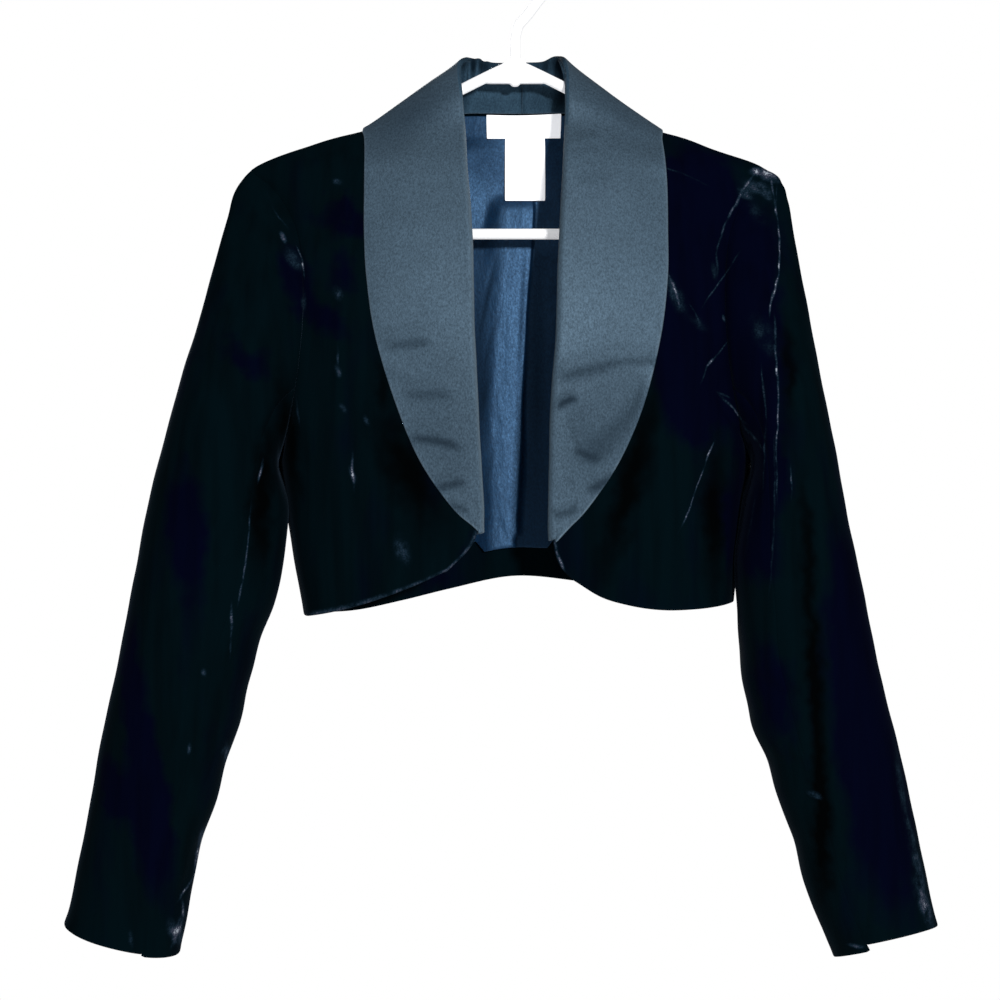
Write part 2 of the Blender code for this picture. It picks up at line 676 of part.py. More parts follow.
def hanger(name, look):
    """Arms, bar and end loops in one tube, with a web under the apex and a hook, all one moulding."""
    slope = np.degrees(np.arctan(ARM_SLOPE))
    meet_x = (ARM_APEX_Z - BAR_Z) / ARM_SLOPE
    end_x = meet_x - END_RADIUS / np.tan(np.radians(slope / 2))
    end_z = BAR_Z + END_RADIUS
    right = arc(end_x, end_z, END_RADIUS, 90 - slope, -90, 9)
    left = (right * (-1, 1, 1))[::-1]
    apex = np.array([[-9, 0, ARM_APEX_Z - 9 * ARM_SLOPE - 0.4], [0, 0, ARM_APEX_Z - 2.0]])
    apex = np.concatenate([apex, apex[:1] * (-1, 1, 1)])
    frame = tube(name, np.concatenate([apex, right, left]), True, look)
    hook_z = TUBE_RADIUS - HOOK_RADIUS
    bend = [[0, 0, -97], [0, 0, -68], [2.5, 0, -58], [10, 0, -49.5]]
    crook = tube("hook_tool", np.concatenate([bend, arc(0, hook_z, HOOK_RADIUS, -42, 192, 20)]), False, look)
    web = [(-22, -103), (22, -103), (12, -92), (5.5, -84), (-5.5, -84), (-12, -92)]
    points = [(x, y, z) for y in (-3.4, 3.4) for x, z in web]
    size = len(web)
    faces = [list(range(size)), list(range(size, 2 * size))]
    faces += [[i, (i + 1) % size, size + (i + 1) % size, size + i] for i in range(size)]
    plate = mesh_object("web_tool", points, faces, look)
    for tool in (crook, plate):
        joined = frame.modifiers.new("join", "BOOLEAN")
        joined.operation = "UNION"
        joined.solver = "EXACT"
        joined.object = tool
        tool.hide_render = True
        tool.display_type = "WIRE"
    return frame


velvet = material("dark blue velvet", (0.004, 0.007, 0.014), 0.9)
satin = material("slate blue satin", (0.065, 0.105, 0.145), 0.4)
lining_satin = material("blue lining satin", (0.02, 0.05, 0.09), 0.35)
tape = material("white label tape", (0.8, 0.8, 0.8), 0.7)
plastic = material("white plastic", (0.85, 0.85, 0.85), 0.35)

front("front_right", -1, velvet)
front("front_left", 1, velvet)
back("back", velvet)
for wearer, side in (("right", -1), ("left", 1)):
    upper_turns = (BACK_SEAM_TURN - 360, FRONT_SEAM_TURN)
    under_turns = (FRONT_SEAM_TURN, BACK_SEAM_TURN)
    sleeve_panel(f"upper_sleeve_{wearer}", side, *upper_turns, 0.0, velvet)
    sleeve_panel(f"under_sleeve_{wearer}", side, *under_turns, UNDER_SLEEVE_DROP[side], velvet)
    collar(f"collar_{wearer}", side, satin)
back_lining("back_lining", lining_satin)
tape_depth = CLOTH / 2 + LINING_CLEAR + LINING_CLOTH + 2 * SEAM_GAP + LABEL_CLOTH / 2
label("neck_label", LABEL_CENTRE_X, LABEL_WIDTH, LABEL_TOP_Z, LABEL_HEIGHT, tape_depth, 0.6, tape)
care_top = LABEL_TOP_Z - LABEL_HEIGHT - SEAM_GAP
label("care_label", CARE_CENTRE_X, CARE_WIDTH, care_top, CARE_HEIGHT, tape_depth, 4.0, tape)
hanger("hanger", plastic)
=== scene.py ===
import bpy
import numpy as np
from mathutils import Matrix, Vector


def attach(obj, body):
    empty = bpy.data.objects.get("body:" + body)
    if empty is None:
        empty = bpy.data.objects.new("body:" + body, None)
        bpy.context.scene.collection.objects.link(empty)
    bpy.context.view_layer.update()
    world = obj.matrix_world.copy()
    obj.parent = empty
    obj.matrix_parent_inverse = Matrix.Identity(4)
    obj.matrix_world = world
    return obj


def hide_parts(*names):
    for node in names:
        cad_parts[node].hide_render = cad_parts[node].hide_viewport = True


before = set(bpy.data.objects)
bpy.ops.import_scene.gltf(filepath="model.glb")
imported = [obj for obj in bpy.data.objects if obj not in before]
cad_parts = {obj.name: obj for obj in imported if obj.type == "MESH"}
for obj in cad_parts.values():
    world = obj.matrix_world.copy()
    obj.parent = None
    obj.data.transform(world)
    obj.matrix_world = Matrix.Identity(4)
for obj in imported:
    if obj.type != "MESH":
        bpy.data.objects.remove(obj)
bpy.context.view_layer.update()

# Cropped velvet bolero jacket with a satin shawl collar, hung on a tubular hanger.
# Sizes are in millimetres, and MM turns them into metres where a mesh or a pattern is made.
# +X is to the right as the front is looked at, -Y is the front and +Z is up.
# Side -1 is on the left as the front is looked at, which is the wearer's right.
MM = 0.001

# Thickness of each cloth, with its lining or interfacing
VELVET = 1.8
SATIN = 1.6
LINING = 1.0
TAPE = 0.7
# A hem's extra thickness where it is turned up, and how far from the edge that fades
HEM_EXTRA = 0.9
HEM_SOFT = 5.0
# The gap at a seam, how far its stitches pull body and sleeve in, and over what width
SEAM_GAP = 0.4
BODY_PULL = 0.7
SLEEVE_PULL = 0.6
PULL_WIDTH = 4.0
# How far the cloth hangs in front of the middle of its solid
CLOTH_FORWARD_Y = -2.5

# Heights on the body
BACK_NECK_Z = -118.0
NECK_Z = -122.0
SHOULDER_Z = -170.0
ARMPIT_Z = -398.0
CHEST_Z = -440.0
LINING_FOOT_Z = -470.0
HEM_Z = -490.0
FOLDS_OPEN_Z = -540.0

# How far the armhole swings to the front and back, in degrees round the body
ARMHOLE_FRONT = 36.0
ARMHOLE_BACK = 33.0
# The turns of the armhole that lie under the arm, those over which that fades, and the room left there
UNDER_ARM_TURN = 45.0
UNDER_ARM_FADE = 35.0
UNDER_ARM_ROOM = 2.0
# Steps along a surface that show which way it faces: degrees or millimetres, sleeve sections, into a sleeve
STEP = 0.5
SECTION_STEP = 0.05
INTO_SLEEVE = 0.4
# How often the search for an angle halves its range
HALVINGS = 30

# Collar: radius of its fold, how far its neck seam lies inside the body's cloth, where its centre-back seam
# has slipped to, and the row from which the fold lies on the body
FOLD_RADIUS = {-1: 2.8, 1: 4.0}
COLLAR_LAP_IN = 3.4
COLLAR_SEAM_X = 6.0
FRONT_FOLD_ROWS = 6
# How strong the painted highlight is on the collar's fold and on its outer edge
FOLD_HIGHLIGHT = {-1: 0.24, 1: 0.05}
RIM_HIGHLIGHT = {-1: 0.05, 1: 0.10}

# Lining with its ease pleat, and the labels
LINING_ABOVE_HEM = 22.0
LINING_SIDE_X = 24.0
LINING_SIDE_RISE = 10.0
LINING_INSIDE = 3.4
LINING_TOP_Z = -121.5
LINING_SHOULDER_DROP = 10.0
LABEL_X = 7.5
LABEL_WIDTH = 61.0
LABEL_TOP_Z = -120.5
LABEL_HEIGHT = 17.5
CARE_X = 8.6
CARE_WIDTH = 32.3
CARE_HEIGHT = 48.5
# How far the labels lie off the lining, and how far more the lower edge of each hangs free
TAPE_CLEAR = 0.6
LABEL_HANG = 0.6
CARE_HANG = 4.0

# Hanger
TUBE_RADIUS = 4.25
ARM_APEX_Z = -87.5
ARM_SLOPE = 0.53
BAR_Z = -219.7
END_RADIUS = 18.0
HOOK_RADIUS = 25.25
HOOK_START = -42.0
HOOK_END = 192.0
# The arms start beside the stem, stop short of the end loops and bow up as far as a place along them
ARM_START_X = 9.0
ARM_STOP_X = 6.0
APEX_DROP = 2.0
ARM_BOW = 1.9
ARM_BOW_X = 100.0
# The stem below the hook, whose foot shows under the web as a small rounded nub
STEM = [[0, 0, -105.4], [0, 0, -104.2], [0, 0, -101.5], [0, 0, -68], [2.5, 0, -58], [10, 0, -49.5]]
NUB_TAPER = (0.5, 0.85, 1)
WEB_Z = -93.5
WEB_HALF = (22.0, 3.4, 9.5)
WEB_TOP_SHARE = 0.25
# Size of the grid on which the moulding's parts are fused
FUSE = 0.8

# Where the photograph was taken from
CAMERA_X = -11.6
CAMERA_Y = -1650.0
CAMERA_Z = -425.9
CAMERA_LENS = 76.6
SENSOR = 36.0
FLOOR_Z = -1020.0
FLOOR_RADIUS = 850.0


def table(columns, *rows):
    """A short table as one array for each named column."""
    return dict(zip(columns.split(), np.array(rows, float).T))


# Rings of the body from the hem up: half widths to each side, depths to the front and back, squareness
TORSO = table(
    "z left right front back square",
    (-520, 160, 166, 71, 62, 0.04),
    (-480, 168, 171, 70, 63, 0.04),
    (-440, 175, 175, 68.5, 63.5, 0.04),
    (-398, 180, 179, 66, 63, 0.04),
    (-350, 186, 184, 62.5, 61.5, 0.04),
    (-300, 191, 189, 58.5, 59.5, 0.03),
    (-250, 196, 194, 53.5, 57, 0),
    (-207, 200, 197, 46.5, 54.5, -0.05),
    (-185, 202, 196.5, 41.5, 52.5, -0.07),
    (-170, 203, 193.5, 37, 51, -0.08),
    (-155, 167, 153.5, 31, 49, -0.08),
    (-145, 135, 126.5, 26.5, 47.5, -0.07),
    (-142, 122.5, 114.5, 25.2, 47, -0.07),
    (-140.5, 117.5, 109.5, 24.6, 46.8, -0.07),
    (-138, 109.5, 103.5, 23.4, 46.4, -0.07),
    (-133, 104, 98.5, 20.3, 45.6, -0.06),
    (-128, 97, 92, 17, 45, -0.05),
    (-119, 81, 80, 10, 43, -0.03),
    (-112, 68, 68, 5, 42, 0),
)

# Soft folds that open towards the hem: place round the body, half width, depth and where each starts
BODY_FOLDS = table(
    "angle width depth top",
    (58, 11, 4.0, -330),
    (-62, 12, 4.5, -340),
    (-34, 8, 2.0, -455),
    (128, 13, 5.0, -300),
    (158, 10, 5.5, -330),
    (196, 12, 4.5, -310),
    (231, 13, 5.0, -320),
)

# Front edges under the collar and round the cut-away corner
FRONT_EDGE = table(
    "z left right",
    (-485, 58, 43),
    (-476, 50, 35),
    (-465, 38.5, 30.5),
    (-456, 32, 29.3),
    (-448, 29.5, 29),
    (-436, 29.5, 29.5),
    (-400, 31.5, 31.5),
    (-350, 33.5, 33.5),
    (-300, 36.5, 36.5),
    (-250, 38.5, 38.5),
    (-207, 42, 42),
    (-170, 51, 51),
    (-150, 60, 60),
    (-135, 70, 70),
    (-125, 82.5, 82.5),
    (-119, 86, 86),
)
# Where each front's edge meets its hem
CORNER_Z = {-1: -478.0, 1: -485.0}

# Hems by distance from the middle
HEM_RIGHT = table("x z", (43, -485), (63, -496.8), (84, -503), (114, -507), (137, -506.5), (170, -503))
HEM_LEFT = table("x z", (51, -478), (71, -487), (92, -495), (112, -501.5), (137, -508), (163, -513))
HEM_BACK = table(
    "x z",
    (-163, -513),
    (-137, -513),
    (-92, -505),
    (-53, -496),
    (0, -485.5),
    (53, -490),
    (110, -498),
    (170, -503),
)

# Sleeve sections from armhole to cuff: outer and inner edge, half depth, middle depth and front dip
SLEEVE_LEFT = table(
    "outer_x outer_z inner_x inner_z depth y dip",
    (203, -170, 180, -398, 38, 2, 0),
    (214.6, -187.4, 181, -400, 42, -2, 0),
    (220.7, -208.8, 181, -403, 45, -6, 0),
    (229.7, -245.1, 179.5, -409, 47.5, -12, 0),
    (241, -288.2, 176.5, -418, 49, -19, 0),
    (253.5, -334.9, 173.9, -431, 49, -25, 0),
    (268, -388.4, 174.9, -450, 49, -27, 0),
    (280.9, -440.8, 178.1, -474, 49, -26, 0),
    (288.9, -482.4, 184.6, -507.1, 49, -25, 0),
    (296.7, -523, 197.7, -545.8, 48.5, -24, 0),
    (305.5, -565.8, 207.8, -587.6, 47.5, -24, 0),
    (313.8, -607.7, 221, -628.5, 46, -24, 0),
    (321.6, -649.6, 233.6, -669.5, 44, -24, 0),
    (329.4, -693.7, 245.3, -712.6, 41.5, -25, 0),
    (336.8, -729.9, 252.6, -749.8, 39.5, -26, 0.5),
    (341.5, -746.5, 256.3, -767.5, 38.5, -27, 1.8),
)
SLEEVE_RIGHT = table(
    "outer_x outer_z inner_x inner_z depth y dip",
    (199, -170, 179, -398, 38, 2, 0),
    (210.1, -187.4, 180, -400, 42, -3, 0),
    (214.8, -209.7, 180, -403, 45, -8, 0),
    (219, -245.8, 178.5, -409, 47, -14, 0),
    (224.2, -288.8, 176, -418, 48, -21, 0),
    (231.9, -335.6, 173, -431, 48, -28, 0),
    (241.6, -389.3, 170.5, -450, 48, -32, 0),
    (250.6, -437.9, 167.5, -474, 48, -33, 0),
    (259.7, -480.6, 169.2, -508, 48, -32, 0),
    (268.5, -524.5, 170.6, -549, 48, -31, 0),
    (278.3, -567.4, 181.7, -592, 47.5, -30, 0),
    (288.4, -608.3, 192.6, -632, 46, -30, 0),
    (297.6, -649.3, 208, -673, 44, -30, 0),
    (307.2, -692.4, 220.3, -716, 41.5, -30, -1),
    (314.6, -729.5, 234.6, -753, 39.5, -30, -4),
    (318.6, -748.6, 241, -767, 38.5, -30, -7),
)
# The last section, and how many it takes for the armhole's shape to fade into ovals
SECTIONS = 15.0
CAP_SECTIONS = 5.0
# The turns of the two seams, and how far the under sleeve's hem hangs below the upper sleeve's
FRONT_SEAM_TURN = 120.0
BACK_SEAM_TURN = 225.0
UNDER_SLEEVE_DROP = {-1: 2.0, 1: 5.5}

# Sleeve folds and the puffs at its head: section, turn round the sleeve, half length in sections, half width
# in degrees, and height
SLEEVE_FOLDS = {
    -1: table(
        "at turn along around height",
        (8.6, 168, 0.45, 42, -2.5),
        (9.6, 175, 0.40, 38, -2.5),
        (10.9, 170, 0.45, 36, -2.0),
        (12.3, 176, 0.45, 32, -2.0),
        (5.6, 100, 2.4, 12, -3.0),
        (8.0, 262, 2.0, 16, -3.5),
        (1.3, 10, 1.0, 40, 1.0),
    ),
    1: table(
        "at turn along around height",
        (8.8, 172, 0.40, 40, -2.0),
        (10.1, 165, 0.35, 46, 2.5),
        (10.9, 172, 0.40, 38, -3.0),
        (12.4, 174, 0.45, 32, -2.0),
        (6.2, 80, 2.6, 12, -3.0),
        (8.6, 266, 2.2, 16, -3.5),
        (0.4, 4, 0.26, 32, 4.0),
        (0.85, 6, 0.3, 30, 2.4),
        (1.5, 14, 0.6, 34, 1.0),
        (1.5, 38, 0.5, 9, 1.2),
        (1.4, -30, 0.8, 22, 1.2),
    ),
}

# Collar from centre back to its tip: fold line, outer edge, neck seam and how far the edge stands off;
# a face of +1 is behind and -1 in front
COLLAR = table(
    "fold_y fold_z edge_z face seam_x seam_z off",
    (48, -76.5, -147, 1, 0, -118.5, 4.6),
    (45.5, -76.5, -147, 1, 28, -119, 4.6),
    (34, -78, -145, 1, 54, -120.7, 4.2),
    (12, -83, -141, 1, 77, -122.6, 3.2),
    (-4, -95.5, -139.5, 1, 89, -123.4, 2.0),
    (-16, -115, -148, -1, 80.5, -128.5, 2.0),
    (0, -140, -164, -1, 66, -146, 2.2),
    (0, -170, -188, -1, 54.5, -173, 2.3),
    (0, -210, -223, -1, 48, -212, 2.4),
    (0, -255, -259, -1, 46, -256, 2.4),
    (0, -300, -303, -1, 45, -300, 2.4),
    (0, -350, -354, -1, 43, -350, 2.4),
    (0, -395, -397, -1, 41, -395, 2.4),
    (0, -428, -431, -1, 38.5, -428, 2.4),
    (0, -444, -446, -1, 35.5, -444, 2.4),
    (0, -451, -452, -1, 32.5, -451, 2.4),
)
# The row on the shoulder's ridge, and how many rows to each side turn over it
RIDGE_ROW = 4.0
RIDGE_ROWS = 0.6
# How much the fall bulges, as a share of its length: everywhere, and more on the ridge over a spread of rows
FALL_CURVE = 0.01
FALL_BULGE = {-1: 0.05, 1: 0.02}
RIDGE_SPREAD = 1.5
# How far the fold line and the outer edge are from the middle on each side, and how far both are lifted
SPREAD = "fold edge lift"
COLLAR_SPREAD = {
    -1: table(
        SPREAD,
        (0, 0, -2),
        (20, 37, -2.2),
        (35, 74, 1.2),
        (41, 103, -0.6),
        (42.5, 117, -0.4),
        (41, 115, -0.6),
        (39, 114.1, 0),
        (37, 113.8, 0),
        (34, 113.3, 0),
        (32, 111, 0),
        (31, 104.2, 0),
        (28.6, 88.6, 0),
        (26.2, 70.4, 0),
        (24.5, 47, 0),
        (24.3, 31, 0.5),
        (24, 25.5, 1.5),
    ),
    1: table(
        SPREAD,
        (0, 0, -2),
        (20, 37, -1.5),
        (33, 74, 2.4),
        (35.8, 101, -0.4),
        (38.5, 112.3, -2.2),
        (39, 112, -1.5),
        (38.2, 113.3, 0),
        (36.8, 114.5, 0),
        (34, 114.3, 0),
        (32, 113.5, 0),
        (30.5, 108, 0),
        (26.8, 95.1, 0),
        (25.2, 76.7, 0),
        (24.5, 53.9, 0),
        (24.5, 39, -1),
        (25, 30, -4.5),
    ),
}

# Creases in the cloth: from and to, on a face of -1 for the front or 1 for the back, half width, depth, and
# how far each bows
CREASE = "x0 z0 x1 z1 face width depth bow"
# A crease runs on past its ends and fades, as shares of its length, and fades where the cloth turns away
CREASE_PAST = 0.15
CREASE_FADE = 0.4
CREASE_TURN = 1.2
# The bank beside a trough: place and width as shares of the trough's width, height as one of its depth
BANK_OFF = 1.9
BANK_WIDTH = 1.3
BANK_HEIGHT = 0.4
# In stiff satin a crease is a low ridge, steep on the right of its run and easy on the left: the easy width,
# and how dark the painted shade on the steep side is
STIFF_CREASE = CREASE + " easy dark"
# The middle and width of the painted shade on the steep side, as shares of the crease's width
STEEP_AT = 0.5
STEEP_WIDTH = 0.7
COLLAR_CREASES = {
    -1: table(
        STIFF_CREASE,
        (-97, -309, -63, -305, -1, 6.0, 1.3, 0.5, 14, 0.40),
        (-83, -345, -47, -345, -1, 6.0, 1.1, 0.5, 14, 0.28),
        (-78, -378, -40, -385, -1, 5.0, 1.8, 2, 13, 0.48),
        (-61, -416, -37, -410, -1, 5.0, 1.8, 0.5, 10, 0.45),
        (-50, -427.5, -34, -432, -1, 4.0, 1.2, 0, 8, 0.35),
        (-98, -330, -76, -334, -1, 5.0, 0.6, 0, 10, 0.12),
    ),
    1: table(
        STIFF_CREASE,
        (28, -333, 73, -321.5, -1, 7.0, 1.5, 0.6, 14, 0.40),
        (68, -321.5, 113, -319.5, -1, 5.0, 1.1, 0.5, 14, 0.32),
        (27, -356.5, 45, -348, -1, 4.2, 1.8, 1, 8, 0.75),
        (46, -392, 95, -340, -1, 16.0, 4.0, -1, 30, 0.30),
        (52, -396, 38.5, -356, -1, 10.0, 0.8, 0, 5, 0.10),
        (45, -387, 63, -395, -1, 4.5, 1.6, 0, 8, 0.35),
        (53, -417, 74, -406, -1, 5.0, 1.7, 0, 8, 0.55),
        (26, -436, 46, -430, -1, 5.0, 1.2, 0, 8, 0.36),
        (33, -157, 63, -150, -1, 7.0, 1.0, 0, 10, 0.15),
        (45, -190, 70, -186, -1, 9.0, 0.8, 0, 12, 0.12),
    ),
}
# Upright gathers in the stand, behind the neck
STAND_CREASES = table(
    CREASE,
    (-41, -76, -43, -104, -1, 1.5, 1.8, 0),
    (-33.5, -72, -35, -106, -1, 2.6, 4.0, 0),
    (-24.5, -76, -27, -102, -1, 1.6, 2.0, 0),
    (-14, -90, -24, -116, -1, 3.5, 1.0, 1),
    (-2, -98, -4, -118, -1, 2.5, 0.4, 0),
    (16, -92, 13, -116, -1, 3.0, 0.6, 0),
    (27, -78, 24, -112, -1, 3.0, 1.0, 0),
    (36, -72, 38, -114, -1, 3.4, 4.0, 0),
)
# Width of the slow changes of tone in satin, and of a crinkle in loose satin
BLOTCH = 36.0
CRINKLE = 7.0
# The colour of the painted highlight on the collar's fold and outer edge
PAINTED_HIGHLIGHT = "#A9BECD"
# The most that painted shade, on creases and from strokes, takes from the tone of the collar's satin and the
# lining, and of the stand's shaded satin
DEEPEST = 0.85
STAND_DEEPEST = 0.97
# How much rougher satin is under painted shade
DULLED = 0.5
# Painted shade on the satin, or painted light below nought: as strokes with a depth y
SHADE = "x0 z0 x1 z1 width strength y"
# Painted shade on the collar: on its lower parts, and on its upper slopes over the shoulders
COLLAR_PAINTED_SHADE = table(
    SHADE,
    (-66, -330, -36, -440, 52, 0.32, -64),
    (68, -345, 36, -440, 50, 0.28, -64),
    (-108, -152, -52, -112, 24, 0.62, -10),
    (102, -150, 52, -108, 22, 0.35, -10),
)
# Painted shade in the stand, inside the neck: its two upper corners, painted shade and light on the gathers
# there, its ends, and a dark line for the seam at centre back
STAND_PAINTED_SHADE = table(
    SHADE,
    (-42, -78, -10, -85, 11, 0.90, 40),
    (42, -78, 14, -85, 11, 0.92, 40),
    (-40, -74, -41, -98, 2.2, 0.50, 36),
    (-36, -76, -37, -93, 1.5, -0.55, 37),
    (-32.5, -73, -33.5, -95, 1.8, 0.40, 40),
    (-29, -77, -30, -90, 1.3, -0.50, 40),
    (-19, -79, -20, -89, 1.6, -0.25, 42),
    (28.5, -75, 27.5, -93, 2.2, -0.45, 40),
    (21, -79, 20, -90, 1.6, -0.25, 42),
    (36, -74, 39, -104, 5.0, 0.70, 36),
    (-41, -98, -42, -120, 7.0, 0.65, 34),
    (36, -98, 38, -122, 8.0, 0.65, 36),
    (14, -110, 40, -110, 14, 0.32, 38),
    (-30, -112, -6, -114, 7, 0.16, 38),
    (COLLAR_SEAM_X, -90, COLLAR_SEAM_X - 0.5, -118, 0.8, 0.8, 42),
)
# Painted shade on the lining: at its top left, in the shadows of the collar's edges on either side, beside
# the pleat's lip and in streaks down its folds
LINING_PAINTED_SHADE = table(
    SHADE,
    (-30, -118, -20, -172, 22, 0.22, 48),
    (-30, -236, -27, -415, 9.5, 0.65, 48),
    (19.5, -236, 17, -440, 8, 0.5, 48),
    (-13, -230, -25, -275, 2.6, 0.5, 48),
    (-18, -254, -27, -292, 2.2, 0.4, 48),
    (-15, -280, -25, -330, 3, 0.4, 48),
    (-19, -318, -27, -360, 3, 0.4, 48),
    (-16, -380, -25, -425, 3, 0.35, 48),
    (-14, -205, -26, -226, 4, 0.4, 48),
    (8, -232, 3, -330, 2.2, 0.3, 48),
)
FRONT_CREASES = {
    -1: table(
        CREASE,
        (-190, -194, -172, -238, -1, 5.0, 1.2, 2),
        (-170, -228, -159, -258, -1, 2.5, 0.9, 0),
        (-168, -262, -140, -330, -1, 9.0, 1.6, -4),
        (-150, -180, -118, -176, -1, 10.0, 1.0, 0),
        (-176, -350, -160, -405, -1, 6.0, 1.6, 2),
        (-132, -340, -126, -390, -1, 7.0, 0.9, 0),
        (-100, -440, -78, -480, -1, 8.0, 1.2, 3),
    ),
    1: table(
        CREASE,
        (113, -172, 147, -186, -1, 4.0, 1.0, -1),
        (170, -237, 141, -277, -1, 3.2, 1.2, -1),
        (115, -254, 126, -286, -1, 3.0, 1.2, 1),
        (161, -305, 139, -334, -1, 3.0, 1.1, 1),
        (151, -344, 180, -380, -1, 3.0, 1.5, -4),
        (149, -385, 121, -451, -1, 3.0, 1.3, 1),
        (128, -300, 120, -380, -1, 9.0, 1.2, 3),
        (92, -440, 84, -486, -1, 8.0, 1.2, -2),
    ),
}
BACK_CREASES = table(
    CREASE,
    (-168, -240, -96, -300, 1, 10.0, 2.0, 8),
    (162, -236, 88, -288, 1, 9.0, 1.8, -7),
    (-160, -330, -112, -384, 1, 8.0, 1.8, 5),
    (156, -344, 100, -402, 1, 8.0, 1.6, -5),
    (-70, -196, 66, -188, 1, 12.0, 1.4, -6),
    (-30, -330, -44, -470, 1, 9.0, 1.6, 4),
    (38, -352, 52, -478, 1, 8.0, 1.5, -4),
    (4, -260, 10, -345, 1, 11.0, 1.0, 3),
)
SLEEVE_CREASES = {
    -1: table(
        CREASE,
        (-214, -205, -205, -285, -1, 7.0, 1.4, 3),
        (-240, -300, -196, -380, -1, 9.0, 1.8, -6),
        (-205, -425, -252, -470, -1, 8.0, 2.0, 5),
        (-196, -470, -262, -512, -1, 7.0, 2.2, -6),
        (-206, -540, -268, -560, -1, 6.0, 1.8, 5),
        (-222, -600, -285, -640, -1, 7.0, 1.6, -5),
        (-250, -690, -300, -712, -1, 7.0, 1.2, 4),
        (-238, -680, -253, -724, -1, 3.0, 1.2, 0),
        (-210, -430, -270, -480, 1, 9.0, 2.2, -6),
        (-206, -520, -284, -548, 1, 8.0, 2.4, 5),
        (-226, -596, -290, -606, 1, 7.0, 1.8, -4),
        (-250, -250, -222, -345, 1, 9.0, 1.6, 6),
    ),
    1: table(
        CREASE,
        (194, -206, 195, -286, -1, 3.0, 1.6, -3),
        (195, -300, 195, -475, -1, 3.5, 1.5, 2),
        (184, -328, 182, -430, -1, 4.0, 1.2, -3),
        (204, -400, 204, -424, -1, 3.0, 0.8, 0),
        (208, -470, 234, -730, -1, 6.0, 1.8, 4),
        (182, -480, 240, -512, -1, 7.0, 1.6, 5),
        (178, -556, 236, -580, -1, 6.0, 2.0, -5),
        (196, -620, 262, -636, -1, 7.0, 1.6, 4),
        (216, -682, 280, -702, -1, 7.0, 1.4, -4),
        (192, -440, 246, -492, 1, 9.0, 2.2, 6),
        (180, -530, 252, -556, 1, 8.0, 2.4, -5),
        (200, -610, 266, -626, 1, 7.0, 1.8, 5),
        (214, -250, 206, -350, 1, 9.0, 1.6, -5),
    ),
}
LINING_CREASES = table(
    CREASE,
    (-14, -234, -28, -272, -1, 3.0, 0.22, 0),
    (-18, -262, -29, -296, -1, 3.0, 0.2, 0),
    (-19.5, -153, -24.5, -162, -1, 1.6, 0.35, 0),
    (-12, -441, -9, -453, -1, 1.8, 0.5, 0),
    (4, -268, 5, -300, -1, 1.6, 0.2, 0),
    (-60, -200, -72, -440, -1, 10.0, 2.0, 5),
    (60, -190, 74, -440, -1, 10.0, 2.0, -5),
)

# The lining's ease pleat from the hem up: middle and half width of its soft flank, its folded lip, and how
# far it stands off
PLEAT = table(
    "z flank soft lip depth",
    (-470, -28, 11, 0.5, 6),
    (-450, -28, 11, 1.2, 6),
    (-426, -28, 11, 2.8, 6),
    (-386, -31, 13, 5, 6),
    (-346, -27.5, 10, 5.4, 6),
    (-306, -29, 16, 7.6, 6),
    (-266, -29, 20, 9.6, 6),
    (-234, -26, 18, 12.2, 6),
    (-206, -19, 8, 14.2, 5),
    (-192, -16.5, 7, 14.7, 4),
    (-181, -15, 7, 14.5, 0),
    (-178, -15, 7, 14.5, 0),
    (-110, -15, 7, 14.5, 0),
)

# Marks on the pile, as strokes from one place to another: half width and strength.
# Crushed pile and a painted highlight show pale, painted sheen as an indigo cast, and painted shadow as
# black.
STROKE = "x0 z0 x1 z1 width strength"
# Half sizes of a stroke's soft oval: as a share of its run, and of its own width
STROKE_RUN = 0.76
STROKE_WIDE = 1.35
